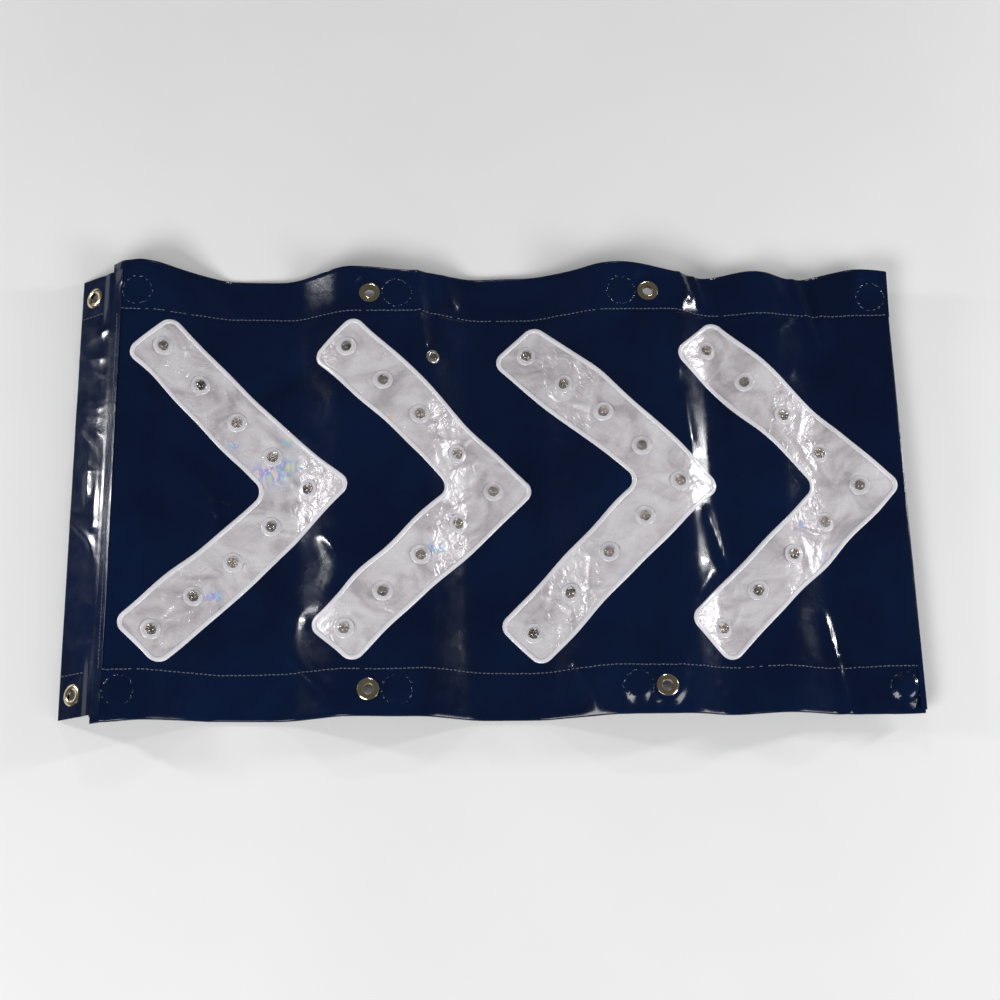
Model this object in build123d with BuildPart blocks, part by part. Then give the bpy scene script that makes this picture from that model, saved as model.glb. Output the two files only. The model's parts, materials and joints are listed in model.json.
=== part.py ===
"""Soft LED chevron sheet: a padded tarpaulin sheet with lit chevrons, lying in gentle waves.

Frame: origin on the ground under the middle of the whole, flap included, +X the way the chevrons
point, +Y towards the sheet's top edge, +Z up. Millimetres. The pieces are drawn about the middle of
the chevrons and moved to that origin as they are written.
"""
import os
from math import sqrt

from build123d import *

os.makedirs("parts", exist_ok=True)

# ---------------------------------------------------------------- driving dimensions
sheet_height = 500.0  # bottom edge to top edge
chevron_count = 4
chevron_pitch = 200.0
lamps_per_arm = 4  # beside the one at the apex
hem_width = 50.0
tail_gap = 40.0  # hem line to the nearest lamp
side_margin = 50.0  # outermost lamp to the sheet's end

arm_half_width = 33.5
tail_reach = 22.0  # tail lamp to the end of the arm
corner_radius = 14.0
rim_width = 5.0

hem_skin = 0.5
back_skin = 0.5
core = 2.0  # room between the two sheets
front_skin = 0.5
film_thickness = 0.5
rim_thickness = 0.8

thread_width = 1.2
thread_height = 0.4
stitch_inset = 3.0

ribbon_width = 4.0
ribbon_thickness = 0.5
board_radius = 8.0
board_thickness = 0.8
chip_size = 5.0
chip_thickness = 0.5
foam_inset = 6.0

lens_skirt_radius = 6.2
lens_skirt_depth = 0.6
lens_flange_radius = 10.5
lens_flange_height = 0.9
lens_dome_radius = 5.6
lens_dome_height = 4.2
lens_wall = 1.4

magnet_radius = 12.5
magnet_thickness = 1.8
magnet_end_inset = 20.0  # end magnets to the sheet's end
weld_ring_radius = 16.0
weld_ring_width = 1.4
weld_ring_height = 0.3
pair_x = 140.0  # middle of each inner pair of eyelet and magnet
pair_spacing = 30.0  # eyelet to magnet in a pair

eyelet_hole_radius = 5.75
eyelet_wall = 0.6
eyelet_flange_radius = 11.5
eyelet_flange_height = 1.3
washer_thickness = 0.8
eyelet_roll = 0.5  # rolled end of the barrel, past its washer

seam_width = 8.0  # the left end stands this much outside the end magnets' margin
hinge_gap = 3.0  # left end to the flap's hinge line
tongue_gap = 0.6  # hinge line to the sewn-in strip
flap_gap = 1.6  # hinge line to the flap
flap_shoulder = 10.0  # hinge line to the flap's bend
flap_reach = 34.0  # hinge line to the flap's edge
tongue_half = 0.3
anchor_overlap = 14.0
edge_weld_width = 6.0
flap_half_thickness = 0.8
flap_eyelet_reach = 19.0  # hinge line to the flap's eyelets

sensor_x = -85.0
sensor_y = 150.0
sensor_ring_radius = 8.0
sensor_ring_height = 1.6
sensor_window_radius = 3.6
sensor_proud = 0.9
sensor_lead_offset = 15.0

box_width = 62.0
box_depth = 22.0
box_wall = 2.0
box_corner = 4.0
box_centre_y = 110.0
ear_width = 11.0
ear_length = 12.0
rivet_radius = 1.6
rivet_head_radius = 3.2
rivet_head = 0.8
rivet_washer_radius = 4.5
rivet_washer = 0.5
cell_radius = 7.1
cell_length = 50.0
cell_count = 4
cell_gap = 0.2
nub_radius = 2.7
nub_height = 1.0
bay_length = 56.0
electronics_length = 32.0
plate_thickness = 0.5
spring_radius = 3.2
spring_wire = 0.6
cover_thickness = 2.0
cover_gap = 0.5
seal_thickness = 0.8
screw_hole_depth = 9.0
pin_radius = 1.0
pin_clearance = 0.05
barrel_radius = 2.4
barrel_gap = 0.4
lid_barrel_length = 24.0
case_barrel_length = 12.0
board_depth = 1.6
board_margin = 1.6
board_stand = 4.5
switch_size = 6.0
switch_depth = 4.0
button_radius = 6.0
button_proud = 1.2
button_travel = 1.5
button_flange = 1.2
button_clearance = 0.3
screw_radius = 1.25
screw_head_radius = 2.4
boss_radius = 2.9

clearance = 0.3

# ---------------------------------------------------------------- sizes that follow
half_height = sheet_height / 2
lamp_pitch = (half_height - hem_width - tail_gap) / lamps_per_arm
arm_run = lamps_per_arm * lamp_pitch
right_end = ((chevron_count - 1) * chevron_pitch + arm_run) / 2 + side_margin
left_end = -right_end - seam_width
hem_line = half_height - hem_width
fixing_y = half_height - hem_width / 2
end_magnet_x = right_end - magnet_end_inset
pair_eyelet_x = pair_x + pair_spacing / 2
pair_magnet_x = pair_x - pair_spacing / 2
hinge_x = left_end - hinge_gap

# levels of the layers, counted up from the underside of the hems
back_low = hem_skin
core_low = back_low + back_skin
front_low = core_low + core
front_high = front_low + front_skin
film_high = front_high + film_thickness
hem_high = front_high + hem_skin
board_low = core_low + ribbon_thickness
chip_low = board_low + board_thickness
middle = (core_low + front_low) / 2

cut_height = 200.0  # taller than the waves

apex_x = [(i - (chevron_count - 1) / 2) * chevron_pitch + arm_run / 2 for i in range(chevron_count)]
eyelet_spots = [(x, y) for x in (-pair_eyelet_x, pair_eyelet_x) for y in (-fixing_y, fixing_y)]
magnet_spots = [
    (x, y)
    for x in (-end_magnet_x, -pair_magnet_x, pair_magnet_x, end_magnet_x)
    for y in (-fixing_y, fixing_y)
]
flap_eyelet_spots = [(hinge_x - flap_eyelet_reach, y) for y in (-fixing_y, fixing_y)]

# ---------------------------------------------------------------- the waves
# The cloth's underside is a row of straight runs joined by arcs, the same along the whole height.
end_rise = 18.0
crest_left = 31.0
crest_box = 28.0  # the control box hangs here
crest_right = 36.0
dip_right = 13.0
crest_last = 29.0
dip_last = 10.0
crest_end = 21.0
left_slope = 0.375 * chevron_pitch  # runs of the slopes between crests and dips
box_slope = 0.275 * chevron_pitch
right_slope = 0.35 * chevron_pitch
dip_slope = 0.2 * chevron_pitch
last_slope = 0.24 * chevron_pitch

left_flat = (-end_magnet_x - 16, -end_magnet_x + 22)
box_flat = (-pair_x - 44, -pair_x + 44)
right_flat = (pair_x - 42, pair_x + 46)
last_dip = right_flat[1] + dip_slope
end_flat = end_magnet_x - 20
last_crest = (last_dip + end_flat - last_slope) / 2

sheet_wave = [
    (left_end, end_rise),
    (left_flat[0], crest_left),
    (left_flat[1], crest_left),
    (left_flat[1] + left_slope, 0),
    (box_flat[0] - box_slope, 0),
    (box_flat[0], crest_box),
    (box_flat[1], crest_box),
    (box_flat[1] + box_slope, 0),
    (right_flat[0] - right_slope, 0),
    (right_flat[0], crest_right),
    (right_flat[1], crest_right),
    (last_dip, dip_right),
    (last_crest, crest_last),
    (end_flat - last_slope, dip_last),
    (end_flat, crest_end),
    (right_end, crest_end),
]
bend_shares = [0.025, 0.225, 0.3, 0.3, 0.25, 0.25, 0.3, 0.3, 0.225, 0.275, 0.21, 0.3, 0.2, 0.25]
sheet_bends = [share * chevron_pitch for share in bend_shares]
flap_wave = [
    (hinge_x - flap_gap, end_rise),
    (hinge_x - flap_shoulder, end_rise - 1),
    (hinge_x - flap_reach, flap_half_thickness - middle),
]
flap_bends = [12]
centre_shift = -(flap_wave[-1][0] + right_end) / 2  # the drawing's origin to the middle of the whole


def wave_slab(points, bends, low, high):
    """The solid between two levels of a wave, over the whole height of the sheet."""
    with BuildPart() as slab:
        with BuildSketch(Plane.XZ.offset(-half_height)):
            with BuildLine():
                under = FilletPolyline(*[(x, z + low) for x, z in points], radius=bends)
                over = FilletPolyline(*[(x, z + high) for x, z in points], radius=bends)
                Line(under @ 0, over @ 0)
                Line(under @ 1, over @ 1)
            make_face()
        extrude(amount=sheet_height)
    return slab.part


def sheet_layer(low, high):
    """A layer of the sheet between two levels."""
    return wave_slab(sheet_wave, sheet_bends, low, high)


def flap_layer(low, high):
    """A layer of the flap between two levels."""
    return wave_slab(flap_wave, flap_bends, low, high)


def seat(slab, x, y):
    """The plane that touches the slab's upper face above a point in plan."""
    hits = slab.shell().find_intersection_points(Axis((x, y, -cut_height), (0, 0, 1)))
    point, normal = max(hits, key=lambda hit: hit[0].Z)
    if normal.Z < 0:
        normal = -normal
    return Plane(point, x_dir=Vector(0, 1, 0).cross(normal), z_dir=normal)


front_surface = sheet_layer(0, front_high)
flap_surface = flap_layer(middle - flap_half_thickness, middle + flap_half_thickness)
lamp_spots = [
    [(apex - abs(j) * lamp_pitch, j * lamp_pitch) for j in range(-lamps_per_arm, lamps_per_arm + 1)]
    for apex in apex_x
]
lamp_seats = [[seat(front_surface, x, y) for x, y in spots] for spots in lamp_spots]
all_lamp_spots = [spot for spots in lamp_spots for spot in spots]
all_lamp_seats = [spot for seats in lamp_seats for spot in seats]
eyelet_seats = [seat(front_surface, x, y) for x, y in eyelet_spots]
magnet_seats = [seat(front_surface, x, y) for x, y in magnet_spots]
flap_eyelet_seats = [seat(flap_surface, x, y) for x, y in flap_eyelet_spots]
sensor_seat = seat(front_surface, sensor_x, sensor_y)

# ---------------------------------------------------------------- control box positions
box_length = 3 * box_wall + bay_length + electronics_length
box_x = -pair_x
box_top = crest_box + back_low
box_bottom = box_top - box_depth
box_ceiling = box_top - box_wall
box_near = box_centre_y - box_length / 2
box_far = box_centre_y + box_length / 2
bay_near = box_near + box_wall
bay_far = bay_near + bay_length
electronics_near = bay_far + box_wall
electronics_far = box_far - box_wall
split_y = (bay_far + electronics_near) / 2
seal_low = box_bottom + cover_thickness
rim_z = seal_low + seal_thickness
board_top = box_ceiling - board_stand
board_bottom = board_top - board_depth
cell_z = box_ceiling - cell_radius - clearance
hinge_y = box_near - barrel_radius - cell_gap
hinge_z = box_bottom + barrel_radius
button_y = (electronics_near + electronics_far) / 2
rivet_spots = [
    (box_x + side * (box_width - ear_width) / 2, y)
    for side in (-1, 1)
    for y in (box_near - ear_length / 2, box_far + ear_length / 2)
]
cover_screw_spots = [(box_x + side * (box_width / 2 - 8.5), electronics_far - 5) for side in (-1, 1)]
board_screw_spots = [(box_x + side * (box_width / 2 - 8.5), electronics_near + 4) for side in (-1, 1)]
lead_x = box_x - lamp_pitch / 4
lead_y = apex_x[1] - lead_x
sensor_lead_x = box_x + sensor_lead_offset
lead_line = [(sensor_x, sensor_y), (sensor_lead_x - ribbon_width / 2, sensor_y)]

# ---------------------------------------------------------------- sizes of holes
lens_hole_radius = lens_skirt_radius + clearance
eyelet_outer_radius = eyelet_hole_radius + eyelet_wall
eyelet_cut_radius = eyelet_outer_radius + clearance


# ---------------------------------------------------------------- outlines drawn in plan
def rectangle(x_low, x_high, y_low, y_high):
    """A rectangle between two corners."""
    with BuildSketch() as outline:
        with Locations(((x_low + x_high) / 2, (y_low + y_high) / 2)):
            Rectangle(x_high - x_low, y_high - y_low)
    return outline.sketch


def circles(spots, radius):
    """Discs of one radius at several places."""
    with BuildSketch() as outline:
        with Locations(*spots):
            Circle(radius)
    return outline.sketch


def strip(points, width):
    """A flat strip of even width along a row of points."""
    with BuildSketch() as outline:
        with BuildLine():
            Polyline(*points)
        trace(line_width=width)
    return outline.sketch


def chevron_outline(apex, inset):
    """A chevron with rounded corners, drawn in from its edge by an inset."""
    slant = arm_half_width / sqrt(2)
    end = arm_run + tail_reach / sqrt(2)
    with BuildSketch() as outline:
        with BuildLine():
            Polyline(
                (apex + slant * 2, 0),
                (apex - end + slant, end + slant),
                (apex - end - slant, end - slant),
                (apex - slant * 2, 0),
                (apex - end - slant, slant - end),
                (apex - end + slant, -end - slant),
                close=True,
            )
        make_face()
        fillet(outline.vertices(), radius=corner_radius)
        if inset > 0:
            offset(amount=-inset, mode=Mode.REPLACE)
    return outline.sketch


def lamp_line(apex):
    """The line through the lamps of one chevron."""
    return [(apex - arm_run, arm_run), (apex, 0), (apex - arm_run, -arm_run)]


def layer(outline, low, high):
    """The stretch of the sheet between two levels, inside an outline drawn in plan."""
    with BuildPart() as stretch:
        with BuildSketch():
            add(outline)
        extrude(amount=cut_height)
        add(sheet_layer(low, high), mode=Mode.INTERSECT)
    return stretch.part


def save(piece, name):
    """Move a finished piece from the chevrons' middle to the middle of the whole, label it and write it."""
    placed = piece.part.moved(Location((centre_shift, 0, 0)))
    placed.label = name
    export_step(placed, f"parts/{name}.step")


# ---------------------------------------------------------------- sheets and hems
sheet_outline = rectangle(left_end, right_end, hem_skin - half_height, half_height - hem_skin)

with BuildPart() as back_sheet:
    add(layer(sheet_outline, back_low, core_low))
    with Locations(*eyelet_seats):
        Cylinder(eyelet_cut_radius, cut_height / 10, mode=Mode.SUBTRACT)
    with Locations(*[(x, y, box_top) for x, y in rivet_spots]):
        Cylinder(rivet_radius + clearance, box_wall * 2, mode=Mode.SUBTRACT)
    with Locations((lead_x, lead_y, box_top), (sensor_lead_x, sensor_y, box_top)):
        Box(ribbon_width + 2 * clearance, ribbon_width + 2 * clearance, box_wall * 2, mode=Mode.SUBTRACT)
save(back_sheet, "back_sheet")

with BuildPart() as front_sheet:
    add(layer(sheet_outline, front_low, front_high))
    with Locations(*all_lamp_seats):
        Cylinder(lens_hole_radius, core * 2, mode=Mode.SUBTRACT)
    with Locations(*eyelet_seats):
        Cylinder(eyelet_cut_radius, cut_height / 10, mode=Mode.SUBTRACT)
    with Locations(sensor_seat):
        Cylinder(sensor_window_radius + clearance, core, mode=Mode.SUBTRACT)
save(front_sheet, "front_sheet")

for name, side in (("top_hem", 1), ("bottom_hem", -1)):
    folded = sorted((side * hem_line, side * half_height))
    filled = sorted((side * (hem_line - 1), side * (half_height - hem_skin)))
    with BuildPart() as hem:
        add(layer(rectangle(left_end, right_end, *folded), 0, hem_high))
        add(layer(rectangle(left_end - 1, right_end + 1, *filled), back_low, front_high), mode=Mode.SUBTRACT)
        with Locations(*eyelet_seats):
            Cylinder(eyelet_cut_radius, cut_height / 10, mode=Mode.SUBTRACT)
    save(hem, name)

with BuildPart() as hem_stiffeners:
    for low_y, high_y in ((hem_line + 2, half_height - hem_skin), (hem_skin - half_height, -hem_line - 2)):
        hem_fill = rectangle(left_end + anchor_overlap, right_end - edge_weld_width, low_y, high_y)
        add(layer(hem_fill, core_low, front_low))
    with Locations(*eyelet_seats):
        Cylinder(eyelet_cut_radius, cut_height / 10, mode=Mode.SUBTRACT)
    with Locations(*magnet_seats):
        Cylinder(magnet_radius + clearance, core * 5, mode=Mode.SUBTRACT)
save(hem_stiffeners, "hem_stiffeners")

with BuildPart() as edge_weld:
    add(
        layer(
            rectangle(right_end - edge_weld_width, right_end, hem_skin - half_height, half_height - hem_skin),
            core_low,
            front_low,
        )
    )
save(edge_weld, "edge_weld")

with BuildPart() as flap_anchor:
    add(
        layer(
            rectangle(left_end, left_end + anchor_overlap, hem_skin - half_height, half_height - hem_skin),
            core_low,
            front_low,
        )
    )
    with Locations(((hinge_x + tongue_gap + left_end) / 2, 0, end_rise + middle)):
        Box(hinge_gap - tongue_gap, sheet_height - 2 * hem_skin, 2 * tongue_half)
save(flap_anchor, "flap_anchor")

stitch_y = hem_line + stitch_inset
seam_x = left_end + anchor_overlap / 2
with BuildPart() as hem_stitching:
    for y in (-stitch_y, stitch_y):
        hem_seam = strip([(left_end + 1, y), (right_end - 1, y)], thread_width)
        add(layer(hem_seam, hem_high, hem_high + thread_height))
save(hem_stitching, "hem_stitching")

with BuildPart() as seam_stitching:
    side_seam = strip([(seam_x, -hem_line + 1), (seam_x, hem_line - 1)], thread_width)
    add(layer(side_seam, front_high, front_high + thread_height))
save(seam_stitching, "seam_stitching")

# ---------------------------------------------------------------- chevrons and their lamps
with BuildSketch() as bus_outline:
    add(strip([(apex_x[0], 0), (apex_x[-1], 0)], ribbon_width))
    for apex in apex_x:
        add(strip(lamp_line(apex), ribbon_width), mode=Mode.SUBTRACT)

with BuildPart() as bus_ribbon:
    add(layer(bus_outline.sketch, core_low, board_low))
save(bus_ribbon, "bus_ribbon")

with BuildPart() as led_boards:
    add(layer(circles(all_lamp_spots, board_radius), board_low, chip_low))
save(led_boards, "led_boards")

with BuildSketch() as chip_outline:
    with Locations(*all_lamp_spots):
        Rectangle(chip_size, chip_size)

with BuildPart() as led_chips:
    add(layer(chip_outline.sketch, chip_low, chip_low + chip_thickness))
save(led_chips, "led_chips")

flange_top = film_thickness + lens_flange_height
dome_start = flange_top + lens_dome_height / 4
with BuildPart() as lens_head:
    with BuildSketch(Plane.XZ):
        with BuildLine():
            Polyline(
                (0, dome_start + lens_dome_height),
                (0, -core),
                (lens_flange_radius, -core),
                (lens_flange_radius, flange_top - clearance),
                (lens_flange_radius - clearance, flange_top),
                (lens_dome_radius, flange_top),
                (lens_dome_radius, dome_start),
            )
            TangentArc(
                (0, dome_start + lens_dome_height), (lens_dome_radius, dome_start), tangent=(1, 0)
            )
        make_face()
    revolve(axis=Axis.Z)

with BuildPart() as lens_hollow:
    with BuildSketch(Plane.XZ):
        with BuildLine():
            Polyline(
                (0, flange_top + lens_dome_height - lens_wall),
                (0, -core),
                (lens_dome_radius - lens_wall, -core),
                (lens_dome_radius - lens_wall, flange_top),
            )
            TangentArc(
                (0, flange_top + lens_dome_height - lens_wall),
                (lens_dome_radius - lens_wall, flange_top),
                tangent=(1, 0),
            )
        make_face()
    revolve(axis=Axis.Z)

for number, apex in enumerate(apex_x, start=1):
    seats = lamp_seats[number - 1]

    with BuildPart() as foam_pad:
        add(layer(chevron_outline(apex, foam_inset), core_low, front_low))
        with BuildSketch():
            add(circles(all_lamp_spots, board_radius + clearance))
            add(strip(lamp_line(apex), ribbon_width + 2 * clearance))
            add(strip([(apex_x[0], 0), (apex_x[-1], 0)], ribbon_width + 2 * clearance))
            add(circles(rivet_spots, rivet_washer_radius + clearance))
            add(strip(lead_line, ribbon_width + 2 * clearance))
        extrude(amount=cut_height, mode=Mode.SUBTRACT)
    save(foam_pad, f"foam_pad_{number}")

    with BuildPart() as lamp_ribbon:
        add(layer(strip(lamp_line(apex), ribbon_width), core_low, board_low))
    save(lamp_ribbon, f"lamp_ribbon_{number}")

    with BuildPart() as chevron_film:
        add(layer(chevron_outline(apex, 0), front_high, film_high))
        with Locations(*seats):
            Cylinder(lens_hole_radius, core * 2, mode=Mode.SUBTRACT)
    save(chevron_film, f"chevron_film_{number}")

    with BuildSketch() as rim_outline:
        add(chevron_outline(apex, 0))
        add(chevron_outline(apex, rim_width), mode=Mode.SUBTRACT)
    with BuildPart() as chevron_rim:
        add(layer(rim_outline.sketch, film_high, film_high + rim_thickness))
    save(chevron_rim, f"chevron_rim_{number}")

    with BuildPart() as lamp_lenses:
        with Locations(*seats):
            add(lens_head.part)
        add(sheet_layer(-core, film_high), mode=Mode.SUBTRACT)
        with Locations(*[one * Location((0, 0, -lens_skirt_depth)) for one in seats]):
            Cylinder(
                lens_skirt_radius,
                lens_skirt_depth + flange_top,
                align=(Align.CENTER, Align.CENTER, Align.MIN),
            )
        with Locations(*seats):
            add(lens_hollow.part, mode=Mode.SUBTRACT)
    save(lamp_lenses, f"lamp_lenses_{number}")

# ---------------------------------------------------------------- magnets and eyelets
with BuildPart() as link_magnets:
    with Locations(*[one * Location((0, 0, -front_skin - core / 2)) for one in magnet_seats]):
        Cylinder(magnet_radius, magnet_thickness)
save(link_magnets, "link_magnets")

with BuildSketch() as weld_outline:
    with Locations(*magnet_spots):
        Circle(weld_ring_radius + weld_ring_width)
        Circle(weld_ring_radius, mode=Mode.SUBTRACT)
with BuildPart() as weld_rings:
    add(layer(weld_outline.sketch, hem_high, hem_high + weld_ring_height))
save(weld_rings, "weld_rings")


def eyelet(grip, bite):
    """An eyelet set in cloth of one thickness; its flange starts a bite below the cloth's face, at z=0."""
    low = -grip - washer_thickness - eyelet_roll
    with BuildPart() as ring:
        with BuildSketch(Plane.XZ):
            with BuildLine():
                Polyline(
                    (eyelet_hole_radius, eyelet_flange_height / 2),
                    (eyelet_hole_radius, low),
                    (eyelet_outer_radius + 2 * eyelet_wall, low),
                    (eyelet_outer_radius + 2 * eyelet_wall, low + eyelet_roll),
                    (eyelet_outer_radius, low + eyelet_roll),
                    (eyelet_outer_radius, -bite),
                    (eyelet_flange_radius, -bite),
                    (eyelet_flange_radius, eyelet_flange_height / 3),
                )
                ThreePointArc(
                    (eyelet_flange_radius, eyelet_flange_height / 3),
                    ((eyelet_flange_radius + eyelet_hole_radius) / 2, eyelet_flange_height),
                    (eyelet_hole_radius, eyelet_flange_height / 2),
                )
            make_face()
        revolve(axis=Axis.Z)
    return ring.part


def washer(grip, bite):
    """The washer under an eyelet, reaching a bite into the cloth."""
    with BuildPart() as ring:
        with BuildSketch(Plane.XY.offset(-grip - washer_thickness)):
            Circle(eyelet_flange_radius)
            Circle(eyelet_outer_radius + pin_clearance, mode=Mode.SUBTRACT)
        extrude(amount=washer_thickness + bite)
    return ring.part


with BuildPart() as sheet_eyelets:
    with Locations(*[one * Location((0, 0, hem_skin)) for one in eyelet_seats]):
        add(eyelet(hem_high, 0))
save(sheet_eyelets, "sheet_eyelets")

with BuildPart() as sheet_washers:
    with Locations(*[one * Location((0, 0, hem_skin)) for one in eyelet_seats]):
        add(washer(hem_high, 0))
save(sheet_washers, "sheet_washers")

# ---------------------------------------------------------------- light sensor
with BuildPart() as sensor_bezel:
    with BuildSketch(Plane.XZ):
        with BuildLine():
            Polyline(
                (sensor_window_radius + clearance, sensor_ring_height * 0.75),
                (sensor_window_radius + clearance, -core),
                (sensor_ring_radius, -core),
                (sensor_ring_radius, sensor_ring_height / 3),
            )
            ThreePointArc(
                (sensor_ring_radius, sensor_ring_height / 3),
                ((sensor_ring_radius + sensor_window_radius) / 2, sensor_ring_height),
                (sensor_window_radius + clearance, sensor_ring_height * 0.75),
            )
        make_face()
    revolve(axis=Axis.Z)
with BuildPart() as placed_bezel:
    with Locations(sensor_seat):
        add(sensor_bezel.part)
    add(sheet_layer(0, front_high), mode=Mode.SUBTRACT)
save(placed_bezel, "sensor_bezel")

with BuildPart() as sensor_window:
    with Locations(sensor_seat * Location((0, 0, -front_high))):
        Cylinder(
            sensor_window_radius,
            front_high + sensor_proud,
            align=(Align.CENTER, Align.CENTER, Align.MIN),
        )
    add(sheet_layer(-front_high, board_low), mode=Mode.SUBTRACT)
    fillet(sensor_window.edges().sort_by(Axis.Z)[-1], radius=sensor_proud)
save(sensor_window, "sensor_window")

with BuildPart() as sensor_lead:
    add(layer(strip(lead_line, ribbon_width), core_low, board_low))
    with Locations((sensor_lead_x, sensor_y, board_top)):
        Box(
            ribbon_width,
            ribbon_width,
            crest_box + board_low - board_top,
            align=(Align.CENTER, Align.CENTER, Align.MIN),
        )
save(sensor_lead, "sensor_lead")

with BuildPart() as power_lead:
    with Locations((lead_x, lead_y, board_top)):
        Box(
            ribbon_width,
            ribbon_width,
            crest_box + core_low - board_top,
            align=(Align.CENTER, Align.CENTER, Align.MIN),
        )
save(power_lead, "power_lead")

# ---------------------------------------------------------------- linking flap
with BuildPart() as link_flap:
    add(flap_surface)
    with Locations(*flap_eyelet_seats):
        Cylinder(eyelet_cut_radius, core * 3, mode=Mode.SUBTRACT)
save(link_flap, "link_flap")

flap_top = middle + flap_half_thickness
with BuildPart() as flap_stitching:
    for y in (-stitch_y, stitch_y):
        with BuildSketch():
            add(strip([(hinge_x - 60, y), (hinge_x - 3, y)], thread_width))
    extrude(amount=cut_height)
    add(flap_layer(flap_top, flap_top + thread_height), mode=Mode.INTERSECT)
save(flap_stitching, "flap_stitching")

with BuildPart() as flap_eyelets:
    for one in flap_eyelet_seats:
        with Locations(one):
            add(eyelet(2 * flap_half_thickness * one.z_dir.Z, clearance))
    add(flap_surface, mode=Mode.SUBTRACT)
save(flap_eyelets, "flap_eyelets")

with BuildPart() as flap_washers:
    for one in flap_eyelet_seats:
        with Locations(one):
            add(washer(2 * flap_half_thickness * one.z_dir.Z, clearance))
    add(flap_surface, mode=Mode.SUBTRACT)
save(flap_washers, "flap_washers")

# ---------------------------------------------------------------- control box on the back
box_low_x = box_x - box_width / 2
box_high_x = box_x + box_width / 2
inner_low_x = box_low_x + box_wall
inner_high_x = box_high_x - box_wall


def case_outline(y_low, y_high):
    """The stretch of the case's rounded outline between two places along its length."""
    with BuildSketch() as outline:
        with Locations((box_x, box_centre_y)):
            RectangleRounded(box_width, box_length, box_corner)
        add(rectangle(box_low_x, box_high_x, y_low, y_high), mode=Mode.INTERSECT)
    return outline.sketch


def case_pockets():
    """The openings over the battery bay and over the electronics."""
    with BuildSketch() as outline:
        add(rectangle(inner_low_x, inner_high_x, bay_near, bay_far))
        add(rectangle(inner_low_x, inner_high_x, electronics_near, electronics_far))
    return outline.sketch


lid_barrel_x = box_x - lid_barrel_length / 2
case_barrels_x = (
    lid_barrel_x - barrel_gap - case_barrel_length,
    lid_barrel_x + lid_barrel_length + barrel_gap,
)

with BuildPart() as case_base:
    with BuildSketch(Plane.XY.offset(rim_z)):
        add(case_outline(box_near, box_far))
    extrude(amount=box_top - rim_z)
    with BuildSketch(Plane.XY.offset(rim_z)):
        add(case_pockets())
    extrude(amount=box_ceiling - rim_z, mode=Mode.SUBTRACT)
    with BuildSketch(Plane.XY.offset(box_ceiling)):
        for side in (-1, 1):
            ear_x = box_x + side * (box_width - ear_width) / 2
            ear_low, ear_high = box_near - ear_length, box_near + box_corner
            add(rectangle(ear_x - ear_width / 2, ear_x + ear_width / 2, ear_low, ear_high))
            ear_low, ear_high = box_far - box_corner, box_far + ear_length
            add(rectangle(ear_x - ear_width / 2, ear_x + ear_width / 2, ear_low, ear_high))
    extrude(amount=box_wall)
    with BuildSketch(Plane.XY.offset(rim_z)):
        add(circles(cover_screw_spots, boss_radius))
    extrude(amount=box_ceiling - rim_z)
    with BuildSketch(Plane.XY.offset(board_top)):
        add(circles(board_screw_spots, boss_radius))
    extrude(amount=board_stand)
    for x in case_barrels_x:
        with BuildSketch(Plane.YZ.offset(x)):
            with Locations(((hinge_y + box_near) / 2, hinge_z + barrel_radius)):
                Rectangle(box_near - hinge_y, 2 * barrel_radius)
            with Locations((hinge_y, hinge_z)):
                Circle(barrel_radius)
                Circle(pin_radius + pin_clearance, mode=Mode.SUBTRACT)
        extrude(amount=case_barrel_length)
    with Locations(*[(x, y, box_top) for x, y in rivet_spots]):
        Cylinder(rivet_radius + pin_clearance, box_wall * 3, mode=Mode.SUBTRACT)
    screw_holes = [(x, y, rim_z) for x, y in cover_screw_spots]
    screw_holes += [(x, y, board_top) for x, y in board_screw_spots]
    with Locations(*screw_holes):
        Cylinder(screw_radius, screw_hole_depth, mode=Mode.SUBTRACT)
    with Locations((lead_x, lead_y, box_top), (sensor_lead_x, sensor_y, box_top)):
        Box(ribbon_width + 2 * clearance, ribbon_width + 2 * clearance, box_wall * 3, mode=Mode.SUBTRACT)
save(case_base, "case_base")

with BuildPart() as case_seal:
    with BuildSketch(Plane.XY.offset(seal_low)):
        add(case_outline(box_near, box_far))
        add(case_pockets(), mode=Mode.SUBTRACT)
    extrude(amount=seal_thickness)
save(case_seal, "case_seal")

with BuildPart() as case_cover:
    with BuildSketch(Plane.XY.offset(box_bottom)):
        add(case_outline(split_y + cover_gap / 2, box_far))
        add(circles(cover_screw_spots, screw_radius + clearance), mode=Mode.SUBTRACT)
        add(circles([(box_x, button_y)], button_radius + button_clearance), mode=Mode.SUBTRACT)
    extrude(amount=cover_thickness)
    with BuildSketch(Plane.XY.offset(box_bottom)):
        add(circles(cover_screw_spots, screw_head_radius + clearance))
    extrude(amount=cover_thickness / 2, mode=Mode.SUBTRACT)
save(case_cover, "case_cover")

with BuildPart() as battery_lid:
    with BuildSketch(Plane.XY.offset(box_bottom)):
        add(case_outline(box_near, split_y - cover_gap / 2))
        add(rectangle(lid_barrel_x, lid_barrel_x + lid_barrel_length, hinge_y, bay_near))
    extrude(amount=cover_thickness)
    with BuildSketch(Plane.YZ.offset(lid_barrel_x)):
        with Locations((hinge_y, hinge_z)):
            Circle(barrel_radius)
    extrude(amount=lid_barrel_length)
    with BuildSketch(Plane.YZ.offset(lid_barrel_x)):
        with Locations((hinge_y, hinge_z)):
            Circle(pin_radius + pin_clearance)
    extrude(amount=lid_barrel_length, mode=Mode.SUBTRACT)
    with BuildSketch(Plane.XY.offset(box_bottom)):
        with Locations((box_x, split_y - 8)):
            SlotOverall(box_width / 3, 4)
    extrude(amount=cover_thickness / 3, mode=Mode.SUBTRACT)
save(battery_lid, "battery_lid")

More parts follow.
